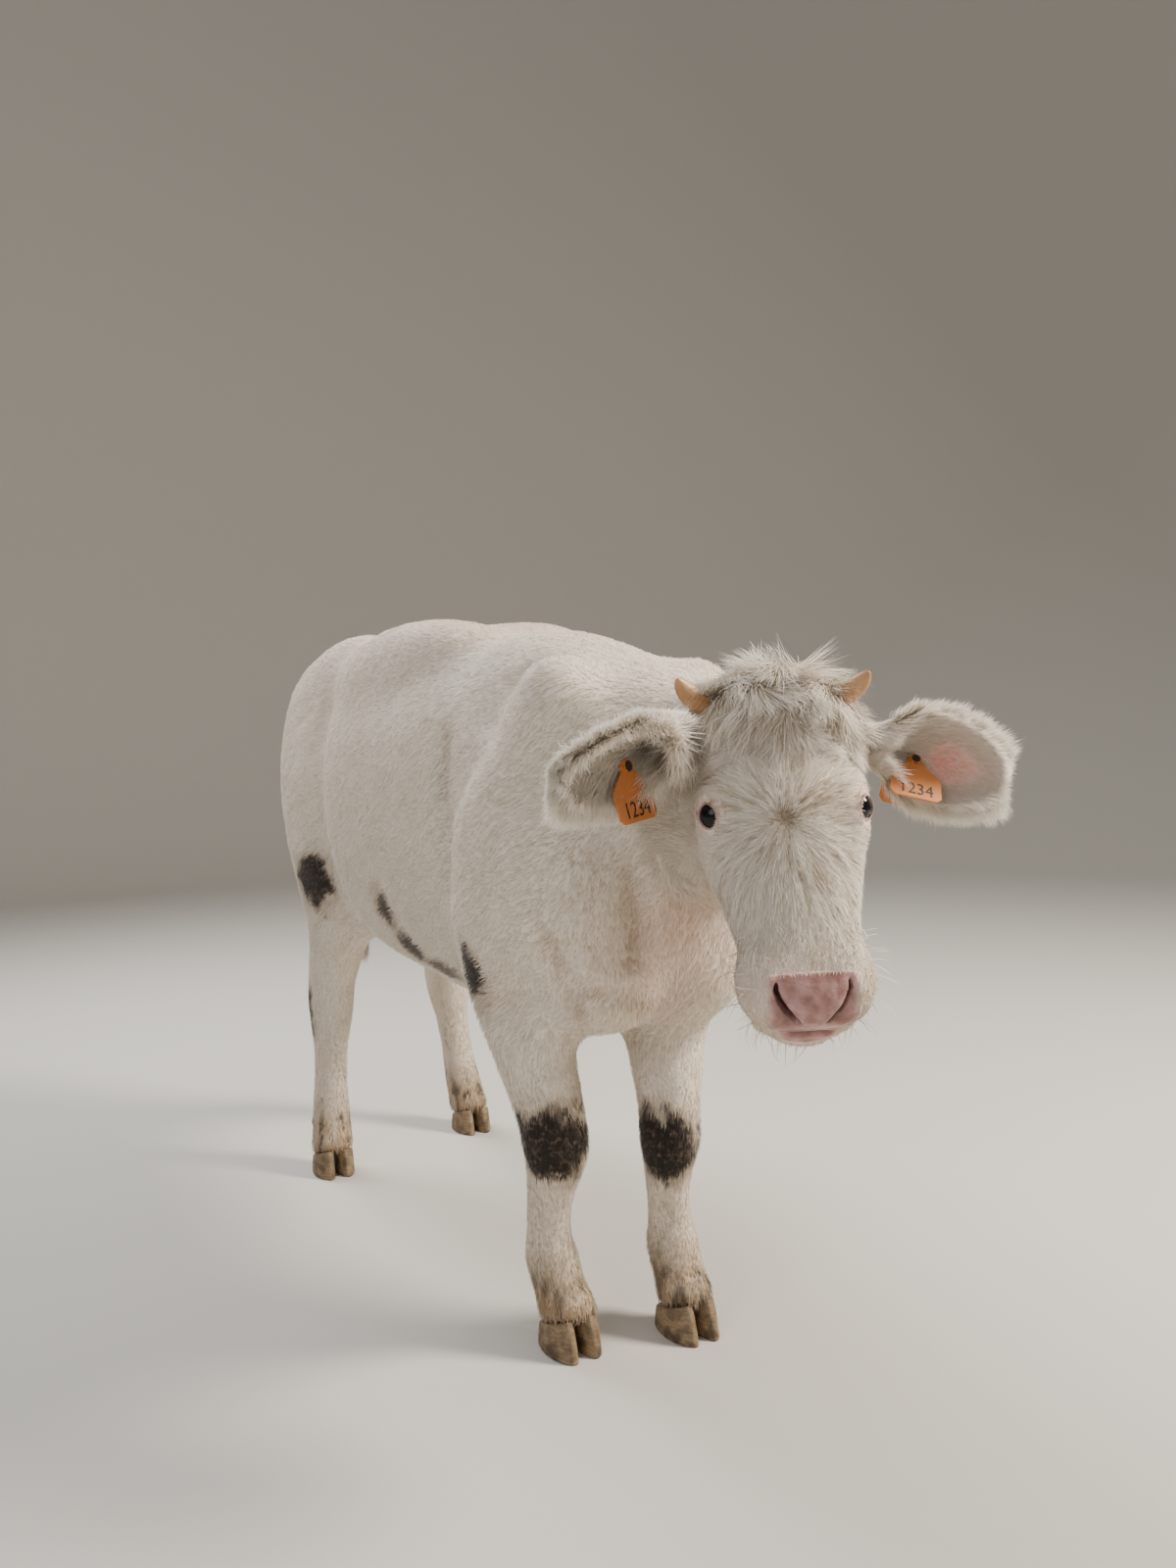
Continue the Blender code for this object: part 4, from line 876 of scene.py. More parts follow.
def press_nostrils(local, move, deep):
    """Presses the nostrils in and raises their wings; deep is painted shade, 1 at their bottoms."""
    for sign, _ in SIDES:
        away, share = line_distance(local, mirrored(NOSTRIL, sign))
        wide = 0.0044 - 0.0022 * ramp(share, 0.3, 0.95)
        move = move - 0.013 * fall(away / wide, 0.5, 1.5)
        deep = np.maximum(deep, fall(away / wide, 0.75, 1.30))
        for path, high, reach in (
            (NOSTRIL_INNER, 0.0014, 0.0055), (NOSTRIL_OUTER, 0.0028, 0.0065),
            (NOSTRIL_HOLLOW, -0.0060, 0.0085),
        ):
            away, _ = line_distance(local, mirrored(path, sign))
            move = move + high * hump(away / reach)
            if high < 0:
                # Painted shade in the hollow beside the wing
                deep = np.maximum(deep, 0.55 * fall(away, 0.0020, 0.0095))
    return move, deep


def press_lines(local, move, deep):
    """Presses in the mouth, with the lips raised along it, the muzzle's groove and the whorl; deep
    takes painted shade along the mouth.
    """
    away, _ = line_distance(local, WHOLE_MOUTH)
    move = move - 0.0058 * fall(away, 0.0008, 0.0050)
    move = move + 0.0016 * hump((away - 0.0070) / 0.0030) * ramp(local[:, 1], 0.33, 0.36)
    # Painted shade along the mouth line
    deep = np.maximum(deep, fall(away, 0.0010, 0.0034) * 0.9)
    away, _ = line_distance(local, MUZZLE_MIDDLE)
    move = move - 0.0018 * hump(away / 0.0022)
    return move - 0.0036 * hump(away_from(local, WHORL) / 0.009), deep


def laid_lids(local, sizes):
    """Lays the skin over the eyeballs and opens it between the lids; also where the rims are."""
    radius = sizes.eye_radius
    lid = np.zeros(len(local))
    for sign, _ in SIDES:
        reach, offset = lid_reach(local, sign, sizes)
        upper = ramp(offset @ eye_frame(sign)[3], -0.004, 0.004)
        far = np.linalg.norm(offset, axis=1)
        target = far + (radius + 0.0026 - far) * fall(reach, 1.15, 2.1)
        target = target + 0.0016 * hump((reach - 1.45) / 0.20) * upper
        target = target - 0.0020 * hump((reach - 1.95) / 0.13) * upper
        target = target + (radius - 0.006 - target) * fall(reach, 0.94, 1.04)
        near = far < 0.04
        around = unit(offset) * target[:, None]
        local = np.where((near & (reach < 8))[:, None], around, offset) + EYE_AT * (sign, 1, 1)
        lid = np.maximum(lid, np.where(near, fall(reach, 1.05, 1.35), 0.0))
    return local, lid


def face_details(mesh, sizes):
    """Shapes the lower lip, the nostrils, the mouth and the lids, and marks painted shade in the
    nostrils and the mouth.
    """
    places, triangles = mesh_arrays(mesh)
    front = (region(places)["head"] > 0.3).astype(float)
    places = smoothed(places, mesh, front * 0.4, 3)
    local = to_head(places)
    normals = vertex_normals(places, triangles) @ AXES
    lower = fall(local[:, 2], -0.044, -0.020) * ramp(local[:, 1], 0.325, 0.365)
    lower = lower * fall(np.abs(local[:, 0]), 0.045, 0.066) * front
    local = local + lower[:, None] * (0.0, 0.0070, -0.0045)
    local[:, 0] += lower * local[:, 0] * 0.16
    move = 0.0028 * bare_nose(local) * ramp(local[:, 2], -0.026, -0.018)
    move, deep = press_nostrils(local, move, np.zeros(len(places)))
    move, deep = press_lines(local, move, deep)
    local, lid = laid_lids(local + normals * (move * front)[:, None], sizes)
    put_places(mesh, from_head(local))
    bare = bare_nose(local) * front
    put_attribute(mesh, "bare", np.clip(np.maximum(bare, lid * 0.7), 0, 1))
    # deep is painted shade in the nostrils, beside their wings and along the mouth
    put_attribute(mesh, "deep", deep * front)


def add_markings(mesh):
    """The skin's share of the coat's colours, with painted shade in the whorl's dimple and along
    the folds.
    """
    places, _ = mesh_arrays(mesh)
    local = to_head(places)
    dirt, stain = dirt_and_shade_at(places, local)
    # Painted shade in the dimple of the whorl, laid through the dirt and stain colours
    whorl = hump(away_from(local, WHORL) / WHORL_RADIUS)
    dirt, stain = np.maximum(dirt, 0.5 * whorl), np.maximum(stain, whorl)
    put_attribute(mesh, "dirt", dirt)
    put_attribute(mesh, "stain", stain)
    put_attribute(mesh, "flush", np.clip(flush_at(places, local) + 0.05, 0, 1))
    put_attribute(mesh, "tint", 0.25 + 0.2 * soft_noise(places, 0.02, 2))


class CALF_OT_skin(bpy.types.Operator):
    """One skin over the flesh, with nostrils, mouth and lids"""

    bl_idname = "calf.skin"
    bl_label = "Skin"

    def execute(self, context):
        sizes = context.scene.calf_sizes
        copies = [cad_copy(name) for name in FLESH]
        solid = joined(copies, "solid")
        target = surface_tree(solid)
        mesh = remeshed(joined(copies + [tail_form()], "flesh"), sizes.skin_step)
        settled(mesh, target, sizes)
        folded(mesh)
        # Each step halves the mesh: the head, then its features, then their openings
        for near in (near_head, near_features(0.318, 0.036), near_features(0.345, 0.027)):
            finer(mesh, near)
        face_details(mesh, sizes)
        add_markings(mesh)
        skin = new_object("skin", mesh)
        colours = context.scene.calf_colours
        # The hair of the ears is thinner, so more light passes through it
        # The roots of both hairs take painted shade; the ear hair's root colour is the light hair,
        # so it darkens little
        work["hair"] = coat_material(colours, "calf hair", colours.coat_root_shade, 0.22)
        work["ear hair"] = coat_material(colours, "calf ear hair", colours.coat_light, 0.48)
        finished(skin, skin_material(colours))
        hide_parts(*FLESH, "tail")
        work["skin"] = skin
        return {"FINISHED"}


# Eyes, horns and claws


class CALF_OT_eyes(bpy.types.Operator):
    """Eyeballs with a wet surface, and the bare rims of the lids"""

    bl_idname = "calf.eyes"
    bl_label = "Eyes"

    def execute(self, context):
        sizes = context.scene.calf_sizes
        colours = context.scene.calf_colours
        # The dark eye is nearly black, and its film of tears gives the wet highlight
        eye = plain_material("calf eye", colours.eye, 0.30)
        set_inputs(eye, {"Specular IOR Level": 0.0, "Coat Weight": 1.0, "Coat IOR": 1.34,
                         "Coat Roughness": 0.03})
        lid_colour = plain_material("calf lid", colours.lid, 0.45, colours.nose_dark, 90.0, 0.0003)
        for sign, side in SIDES:
            centre, aim, along, across = eye_frame(sign)
            bm = bmesh.new()
            place = Matrix.Translation(Vector(from_head(centre)))
            bmesh.ops.create_uvsphere(
                bm, u_segments=48, v_segments=32, radius=sizes.eye_radius, matrix=place
            )
            ball = new_object(f"eyeball_{side}", mesh_from_bmesh("eyeball", bm))
            finished(ball, eye)
            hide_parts(f"eye_{side}")
            rings = []
            for k in range(64):
                angle = 2 * math.pi * k / 64
                c, s = math.cos(angle), math.sin(angle)
                grow = (abs(c) ** LID_POWER + abs(s) ** LID_POWER) ** (-1 / LID_POWER)
                edge = along * sizes.eye_wide * c * grow + across * sizes.eye_high * s * grow
                flat = edge @ edge
                high = math.sqrt(max(1e-9, (sizes.eye_radius + 0.0012) ** 2 - flat))
                middle = aim * high + edge
                out = unit(middle)
                sideways = unit(edge - out * (edge @ out))
                ring = []
                for j in range(8):
                    turn = 2 * math.pi * j / 8
                    away = out * 0.0009 * math.sin(turn) + sideways * 0.0013 * math.cos(turn)
                    ring.append(from_head(centre + middle + away))
                rings.append(ring)
            rim = new_object(f"lid_rim_{side}", ring_mesh(rings, "lid_rim"))
            finished(rim, lid_colour)
        return {"FINISHED"}


class CALF_OT_horns(bpy.types.Operator):
    """Short tan horns with growth rings"""

    bl_idname = "calf.horns"
    bl_label = "Horns"

    def execute(self, context):
        sizes = context.scene.calf_sizes
        colours = context.scene.calf_colours
        # Old rings and streaks of horn come from the darker mix and the fine bump
        horn = plain_material("calf horn", colours.horn, 0.42, colours.horn_dark, 70.0, 0.0004)
        for sign, side in SIDES:
            way = unit(turned(HORN_AIM * (sign, 1, 1)))
            root = from_head(HORN_AT * (sign, 1, 1)) + way * HORN_STUB
            inward = unit(turned((-0.5 * sign, 0.35, 0.8)))
            rings = []
            for i in range(31):
                t = -0.45 + 1.45 * i / 30
                up = max(0.0, t)
                centre = root + way * HORN_LENGTH[sign] * t + inward * 0.013 * up * up
                radius = sizes.horn_radius * (1 - min(1.0, up) ** 2.2) ** 0.62
                radius = max(0.0012, radius + 0.0004 * math.sin(i * 1.9) * (1 - up))
                turn = Vector(way + inward * 0.5 * up)
                rings.append(round_ring(Vector(centre), turn, "Y", radius, 24))
            piece = new_object(f"horn_skin_{side}", ring_mesh(rings, "horn", False))
            finished(piece, horn)
            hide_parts(f"horn_{side}")
        return {"FINISHED"}


def hoof_material(colours):
    """Hoof horn is matt and brown, ringed by its growth, with darker mud on its lower half."""
    material, tree, shader = new_material("calf hoof")
    place = add_node(tree, "ShaderNodeTexCoord").outputs["Object"]
    height = add_node(tree, "ShaderNodeSeparateXYZ", ((0, place),)).outputs[2]
    links = (("Vector", place), ("Scale", 48.0), ("Distortion", 9.0), ("Detail", 3.0),
             ("Detail Scale", 2.0))
    rings = add_node(tree, "ShaderNodeTexWave", links, bands_direction="Z")
    horn = mixed(tree, rings.outputs["Color"], colours.hoof, colours.hoof_pale)
    mud = mapped(tree, object_noise(tree, 60.0), 0.42, 0.62)
    low = mapped(tree, height, 0.070, 0.0, 0.25, 1.0)
    share = add_node(tree, "ShaderNodeMath", ((0, mud), (1, low)), operation="MULTIPLY")
    colour = mixed(tree, share.outputs[0], horn, colours.hoof_dark)
    set_inputs(material, {"Base Color": colour, "Roughness": 0.62})
    bumped(tree, shader, rings.outputs["Color"], 0.15, 0.0005)
    return material


class CALF_OT_claws(bpy.types.Operator):
    """Cloven hooves with rounded edges, and the dewclaws above them"""

    bl_idname = "calf.claws"
    bl_label = "Claws"

    def execute(self, context):
        hoof = hoof_material(context.scene.calf_colours)
        for node in sorted(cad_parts):
            if not node.startswith("claw"):
                continue
            piece = bevelled(node, "_hoof", 0.0036, 3, 35)
            finished(piece, hoof)
            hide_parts(node)
        tree = surface_tree(work["skin"].data)
        for leg in ("front_left", "front_right", "hind_left", "hind_right"):
            box = [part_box(f"claw_{leg}_{part}") for part in ("inner", "outer")]
            middle = sum((Vector(corner) for pair in box for corner in pair), Vector()) / 4
            for part, shift in (("a", -DEW_SHIFT), ("b", DEW_SHIFT)):
                start = Vector((middle.x + shift, middle.y + 0.25, DEW_HEIGHT))
                hit = tree.ray_cast(start, Vector((0.0, -1.0, 0.0)))[0]
                bm = bmesh.new()
                form = Matrix.Diagonal((*DEW_SIZES, 1.0))
                place = Matrix.Translation(hit + Vector((0.0, -0.001, 0.0)))
                bmesh.ops.create_uvsphere(bm, u_segments=16, v_segments=12, radius=1.0,
                                          matrix=place @ form)
                dew = new_object(f"dewclaw_{leg}_{part}", mesh_from_bmesh("dewclaw", bm))
                finished(dew, hoof)
        return {"FINISHED"}


# Ears


def ear_frame(sign):
    """Root of the leaf, way along it, way that its hollow faces, and way across."""
    way = unit(turned(EAR_AIM[sign]))
    root = from_head(EAR_AT * (sign, 1, 1)) + way * EAR_STUB
    out = turned(EAR_OPEN[sign])
    out = unit(out - way * (out @ way))
    return root, way, out, np.cross(way, out)


def ear_sheet(sign, u, v, sizes):
    """Points of the leaf's middle sheet: u from root to tip, v from edge to edge."""
    root, way, out, across = ear_frame(sign)
    droop = unit(turned(EAR_DROOP[sign]))
    tip = np.sqrt(np.maximum(0.0, 1 - np.maximum(0.0, (u - 0.50) / 0.50) ** 2.6))
    half = sizes.ear_width / 2 * (1.05 - 0.06 * np.cos(2 * np.pi * u)) * np.maximum(0.06, tip)
    half = half * (1 - 0.25 * fall(u, -0.10, 0.05))
    curl = np.radians(135 - 88 * ramp(u, 0.0, 0.42))
    radius = half / curl
    angle = curl * v
    side = across * (radius * np.sin(angle))[:, None]
    deep = out * (radius * (1 - np.cos(angle)) - EAR_TUBE)[:, None]
    bend = droop * (0.030 * u * u)[:, None]
    long = sizes.ear_left if sign > 0 else sizes.ear_right
    return root + way * (long * u)[:, None] + side + deep + bend


def leaf_grid(sign, u, v, sizes):
    """Points of the leaf with its normal towards the hollow and its way to the tip."""
    step = 0.01
    here = ear_sheet(sign, u, v, sizes)
    along = ear_sheet(sign, u + step, v, sizes) - ear_sheet(sign, u - step, v, sizes)
    across = ear_sheet(sign, u, v + step, sizes) - ear_sheet(sign, u, v - step, sizes)
    normal = unit(np.cross(along, across))
    facing = ear_frame(sign)[2]
    if (normal @ facing).mean() < 0:
        normal = -normal
    return here, normal, unit(along), unit(across)


def ear_mesh(sign, sizes):
    """The leaf as two sheets that meet in a round rim; also the inner sheet's weight."""
    rows, columns = 56, 40
    u = np.linspace(-0.13, 1.0, rows + 1)
    v = np.linspace(-1.0, 1.0, columns + 1)
    grid_u, grid_v = (g.ravel() for g in np.meshgrid(u, v, indexing="ij"))
    middle, normal, _, _ = leaf_grid(sign, grid_u, grid_v, sizes)
    rim = np.sqrt(np.maximum(0.0, 1 - np.abs(grid_v) ** 8))
    rim = rim * np.sqrt(np.maximum(0.0, 1 - np.clip((grid_u - 0.9) / 0.1, 0, 1) ** 3))
    half = (sizes.ear_wall / 2 * np.maximum(rim, 0.12))[:, None]
    bm = bmesh.new()
    inner = [bm.verts.new(p) for p in middle + normal * half]
    outer = [bm.verts.new(p) for p in middle - normal * half]
    wide = columns + 1
    for i in range(rows):
        for j in range(columns):
            a, b = i * wide + j, (i + 1) * wide + j
            bm.faces.new((inner[a], inner[a + 1], inner[b + 1], inner[b]))
            bm.faces.new((outer[a], outer[b], outer[b + 1], outer[a + 1]))
    border = [i * wide for i in range(rows + 1)]
    border += [rows * wide + j for j in range(1, wide)]
    border += [i * wide + columns for i in range(rows - 1, -1, -1)]
    border += [j for j in range(columns - 1, 0, -1)]
    for a, b in zip(border, border[1:] + border[:1]):
        bm.faces.new((inner[a], inner[b], outer[b], outer[a]))
    bmesh.ops.recalc_face_normals(bm, faces=bm.faces[:])
    mesh = mesh_from_bmesh("ear", bm)
    hollow = np.concatenate((np.ones(len(middle)), np.zeros(len(middle))))
    return mesh, hollow, np.tile(grid_u, 2), np.tile(grid_v, 2)


def ear_material(colours):
    """Thin skin of the ear, pink in its hollow, under pale hair, with painted shade in the fold by
    the pin.
    """
    material, tree, _ = new_material("calf ear")
    coat = coat_colour(tree, colours)
    colour = mixed(tree, attribute(tree, "bare"), coat, colours.ear_pink)
    set_inputs(material, {"Base Color": colour, "Roughness": 0.7, "Subsurface Weight": 0.25,
                          "Subsurface Radius": (0.012, 0.004, 0.003)})
    return material


def ear_middle(u, v):
    """Distance from the pink middle of the hollow."""
    return np.hypot((u - 0.66) / 0.30, (v - 0.05) / 0.75)


def ear_fold_shade(sign, u, v):
    """Painted shade in the fold beside the pin, at the bottom of the hollow."""
    middle = (0.20, 0.0) if sign > 0 else (0.28, -0.02)
    reach = np.hypot((u - middle[0]) / 0.13, (v - middle[1]) / 0.28)
    return fall(reach, 0.3, 1.0) * (0.25 if sign > 0 else 0.6)


class CALF_OT_ears(bpy.types.Operator):
    """Leaves of the ears"""

    bl_idname = "calf.ears"
    bl_label = "Ears"

    def execute(self, context):
        sizes = context.scene.calf_sizes
        material = ear_material(context.scene.calf_colours)
        for sign, side in SIDES:
            mesh, hollow, u, v = ear_mesh(sign, sizes)
            pink = 0.12 + (0.88 if sign > 0 else 0.30) * fall(ear_middle(u, v), 0.2, 1.1)
            put_attribute(mesh, "bare", hollow * pink)
            # Painted shade in the fold by the pin, laid through the dirt colour
            put_attribute(mesh, "dirt", hollow * ear_fold_shade(sign, u, v))
            for name, value in (("stain", 0.0), ("flush", 0.15), ("tint", 0.45)):
                put_attribute(mesh, name, np.full(len(u), value))
            piece = new_object(f"ear_skin_{side}", mesh)
            finished(piece, material)
            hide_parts(f"ear_{side}")
        return {"FINISHED"}


# Ear tags


def tag_print(node):
    """The number on the outer face of a front plate, and the pin's dark button."""
    bm = sewn(node)
    bm.normal_update()
    sign = 1 if "left" in node else -1
    facing = Vector(ear_frame(sign)[2])
    normal = max(bm.faces, key=lambda f: f.calc_area() * (f.normal.dot(facing) > 0)).normal.copy()
    edges = []
    for edge in bm.edges:
        turns = sorted(face.normal.dot(normal) for face in edge.link_faces)
        if len(turns) == 2 and turns[1] > 0.99 and abs(turns[0]) < 0.3:
            edges.append(edge)
    bottom = max(edges, key=lambda e: e.calc_length())
    ends = [vert.co.copy() for vert in bottom.verts]
    middle = (ends[0] + ends[1]) / 2
    across = (ends[1] - ends[0]).normalized()
    up = normal.cross(across).normalized()
    whole = sum((v.co for v in bm.verts), Vector()) / len(bm.verts)
    if up.dot(whole - middle) < 0:
        up, across = -up, -across
    bm.free()
    curve = bpy.data.curves.new("number", "FONT")
    curve.body = TAG_NUMBER
    curve.size = NUMBER_HEIGHT
    curve.align_x = "CENTER"
    curve.extrude = NUMBER_THICK
    curve.resolution_u = 4
    text = new_object("number", curve)
    number = evaluated(text)
    bpy.data.objects.remove(text)
    turn = Matrix((across * NUMBER_NARROW, up, normal)).transposed().to_4x4()
    number.transform(Matrix.Translation(middle + up * NUMBER_RISE + normal * 0.0003) @ turn)
    bm = bmesh.new()
    place = Matrix.Translation(middle + up * BUTTON_RISE + normal * 0.0035) @ turn
    bmesh.ops.create_cone(bm, cap_ends=True, segments=24, radius1=BUTTON_LOW, radius2=BUTTON_TOP,
                          depth=BUTTON_THICK, matrix=place)
    return number, mesh_from_bmesh("button", bm)


class CALF_OT_tags(bpy.types.Operator):
    """Soft plastic tags hung on pins through the ears"""

    bl_idname = "calf.tags"
    bl_label = "Tags"

    def execute(self, context):
        colours = context.scene.calf_colours
        # Soft plastic: satin, slightly see-through at its thin edges
        plastic = plain_material("tag plastic", colours.tag, 0.42)
        set_inputs(plastic, {"Subsurface Weight": 0.15, "Subsurface Radius": (0.004, 0.002, 0.001)})
        ink = plain_material("tag ink", colours.ink, 0.55)
        for node in sorted(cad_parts):
            if not node.startswith("tag"):
                continue
            piece = bevelled(node, "_plate", 0.0005, 2, 40)
            finished(piece, plastic, False)
            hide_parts(node)
            if node.endswith("front"):
                side = node.split("_")[1]
                for label, mesh in zip(("number", "button"), tag_print(node)):
                    finished(new_object(f"tag_{side}_{label}", mesh), ink, False)
        return {"FINISHED"}


# Coat


def scatter(places, triangles, normals, density, rng):
    """Roots spread evenly over the triangles, with their normals."""
    a, b, c = (places[triangles[:, k]] for k in range(3))
    area = np.linalg.norm(np.cross(b - a, c - a), axis=1) / 2
    total = np.concatenate(([0.0], np.cumsum(area * density)))
    count = int(total[-1])
    draws = (np.arange(count) + rng.random(count)) / count * total[-1]
    face = np.clip(np.searchsorted(total, draws) - 1, 0, len(triangles) - 1)
    s, t = rng.random(count), rng.random(count)
    flip = s + t > 1
    s, t = np.where(flip, 1 - s, s), np.where(flip, 1 - t, t)
    shares = np.stack((1 - s - t, s, t), axis=1)
    corners = triangles[face]
    root = np.einsum("nk,nkd->nd", shares, places[corners])
    normal = unit(np.einsum("nk,nkd->nd", shares, normals[corners]))
    return root, normal


def coat_map(skin):
    """An unwrap of the skin's own shape, on a coarse copy."""
    mesh = remeshed(skin.data.copy(), 0.020)
    obj = new_object("coat_map", mesh)
    bpy.context.view_layer.objects.active = obj
    obj.select_set(True)
    bpy.ops.object.mode_set(mode="EDIT")
    bpy.ops.mesh.select_all(action="SELECT")
    bpy.ops.uv.smart_project(angle_limit=math.radians(75), island_margin=0.004)
    bpy.ops.object.mode_set(mode="OBJECT")
    mesh.calc_loop_triangles()
    count = len(mesh.loop_triangles)
    loops = np.empty(count * 3, np.int32)
    mesh.loop_triangles.foreach_get("loops", loops)
    layer = np.empty(len(mesh.loops) * 2)
    mesh.uv_layers.active.data.foreach_get("uv", layer)
    places, triangles = mesh_arrays(mesh)
    tree = surface_tree(mesh)
    middle = layer.reshape(-1, 2)[loops].reshape(count, 3, 2)
    bpy.data.objects.remove(obj)
    return tree, places, triangles, middle


def map_places(roots, unwrap):
    """Place of each root on the unwrap."""
    tree, places, triangles, corners = unwrap
    found = np.array([tree.find_nearest(Vector(root))[2] for root in roots])
    a, b, c = (places[triangles[found, k]] for k in range(3))
    ab, ac, ap = b - a, c - a, roots - a
    d00, d01, d11 = (ab * ab).sum(1), (ab * ac).sum(1), (ac * ac).sum(1)
    d20, d21 = (ap * ab).sum(1), (ap * ac).sum(1)
    low = np.maximum(d00 * d11 - d01 * d01, 1e-18)
    s = np.clip((d11 * d20 - d01 * d21) / low, 0, 1)
    t = np.clip((d00 * d21 - d01 * d20) / low, 0, 1 - s)
    shares = np.stack((1 - s - t, s, t), axis=1)
    return np.einsum("nk,nkd->nd", shares, corners[found])


def tuft_mesh(name, tufts, levels):
    """One mesh of many flat bent tufts, each a strip that narrows to a point."""
    root, normal, way = tufts["root"], tufts["normal"], tufts["way"]
    long, wide = tufts["length"][:, None], tufts["width"][:, None]
    lift, bend = tufts["lift"][:, None], tufts["bend"][:, None]
    count = len(root)
    side = unit(np.cross(way, normal) + normal * tufts["twist"][:, None])
    rows, patch, rise = [], [], []
    sweep = tufts["sweep"]
    for k in range(levels):
        s = k / levels
        spine = root + long * (way * s * (1 - 0.3 * lift) + normal * (lift * s - bend * s * s))
        spine = spine + sweep * (s * s) - normal * 0.0012 * (s == 0)
        half = wide / 2 * (1 - 0.75 * s**1.6)
        rows += [spine - side * half, spine + side * half]
        rise += [s, s]
        patch += [(-0.0012, 0.0024 * s - 0.0012), (0.0012, 0.0024 * s - 0.0012)]
    tip = root + long * (way * (1 - 0.3 * lift) + normal * (lift - bend)) + sweep
    rows.append(tip)
    rise.append(1.0)
    patch.append((0.0, 0.0012))
    points = np.stack(rows, axis=1)
    per = points.shape[1]
    corners, starts = [], []
    for k in range(levels - 1):
        starts.append(len(corners))
        corners += [2 * k, 2 * k + 1, 2 * k + 3, 2 * k + 2]
    starts.append(len(corners))
    corners += [2 * levels - 2, 2 * levels - 1, 2 * levels]
    index = (np.arange(count)[:, None] * per + np.array(corners)).ravel()
    first = (np.arange(count)[:, None] * len(corners) + np.array(starts)).ravel()
    mesh = bpy.data.meshes.new(name)
    mesh.vertices.add(count * per)
    mesh.vertices.foreach_set("co", points.ravel())
    mesh.loops.add(len(index))
    mesh.loops.foreach_set("vertex_index", index.astype(np.int32))
    mesh.polygons.add(len(first))
    mesh.polygons.foreach_set("loop_start", first.astype(np.int32))
    mesh.update(calc_edges=True)
    layer = mesh.uv_layers.new(name="OFBake")
    spots = tufts["uv"][:, None, :] + np.array(patch)[None]
    layer.data.foreach_set("uv", spots.reshape(-1, 2)[index].ravel())
    for key in ("tint", "dirt", "stain", "flush"):
        put_attribute(mesh, key, np.repeat(tufts[key], per))
    # rise runs from 0 at the root to 1 at the tip and sets the painted shade at the roots
    put_attribute(mesh, "rise", np.tile(rise, count))
    mesh.shade_smooth()
    soft = unit(normal + side * tufts["gloss"][:, None] + 0.30 * unit(normal - way * lift))
    mesh.normals_split_custom_set_from_vertices(np.repeat(soft, per, axis=0).tolist())
    return mesh


def coat_way(points, normals, zone):
    """The lie of the hair: back and down on the body, away from the whorl on the face."""
    local = zone["local"]
    low = np.maximum(zone["leg"], zone["tail"])[:, None]
    body = BACK * (1 - low) + DOWN * (0.5 + low)
    under = fall(normals[:, 2], -0.8, -0.3)[:, None] * (1 - low)
    body = body * (1 - under) + BACK * under
    from_whorl = local - WHORL
    from_whorl[:, 2] *= 0.3
    face = unit(from_whorl)
    jaw = fall(local[:, 2], -0.08, -0.03)[:, None]
    face = face * (1 - jaw) + np.array((0.0, -0.6, -0.5)) * jaw
    parting = local[:, 1] + 0.016 * soft_noise(points, 0.022, 19)
    top = ramp(parting, -0.012, -0.050)[:, None]
    tuft = BACK * (1 - top) + np.array((0.0, -0.8, 0.3)) * top
    tuft = tuft + local * (4.0, 0.0, 0.0)
    poll = zone["poll"][:, None]
    face = face * (1 - poll) + unit(tuft) * poll
    head = zone["head"][:, None]
    way = body * (1 - head) + turned(face) * head
    way = way - normals * dot(way, normals)
    thin = np.linalg.norm(way, axis=1, keepdims=True) < 0.12
    spare = DOWN - normals * dot(normals, DOWN)
    return unit(np.where(thin, spare, way))


def turned_about(ways, axes, angles):
    c, s = np.cos(angles)[:, None], np.sin(angles)[:, None]
    return ways * c + np.cross(axes, ways) * s


def clear_of_features(local, zone, sizes):
    """False where no hair grows: nose, lips, open eyes, horn roots."""
    free = bare_nose(local) < 0.4
    free &= line_distance(local, WHOLE_MOUTH)[0] > 0.0030
    for sign, _ in SIDES:
        reach, _ = lid_reach(local, sign, sizes)
        free &= (reach > 1.40) | (eye_distance(local) > 0.03)
        start = HORN_AT * (sign, 1, 1)
        away, _ = line_distance(local, (start, start + unit(HORN_AIM * (sign, 1, 1)) * 0.03))
        free &= away > sizes.horn_radius - 0.001
        free &= line_distance(local, mirrored(NOSTRIL, sign))[0] > 0.009
    return free | (zone["head"] < 0.2)


def streaks(zone, seed):
    """Noise drawn out along the hair: down the body and legs, in spokes about the whorl."""
    own, local, leg, head = zone["own"], zone["local"], zone["leg"], zone["head"]
    back = np.array((0.0, 0.89, -0.45))
    body = soft_noise(own - back * (own @ back)[:, None] * 0.84, 0.010, seed)
    down = soft_noise(own * (1.0, 1.0, 0.18), 0.008, seed + 1)
    flat = local[:, :2] - WHORL[:2]
    away = np.linalg.norm(flat, axis=1, keepdims=True)
    spokes = np.concatenate((flat / np.maximum(away, 1e-6) * 0.085, away * 0.20), axis=1)
    face = 0.7 * soft_noise(spokes, 0.0060, seed + 2) + 0.5 * soft_noise(spokes, 0.0024, seed + 3)
    return (body * (1 - leg) + down * leg) * (1 - head) + face * head


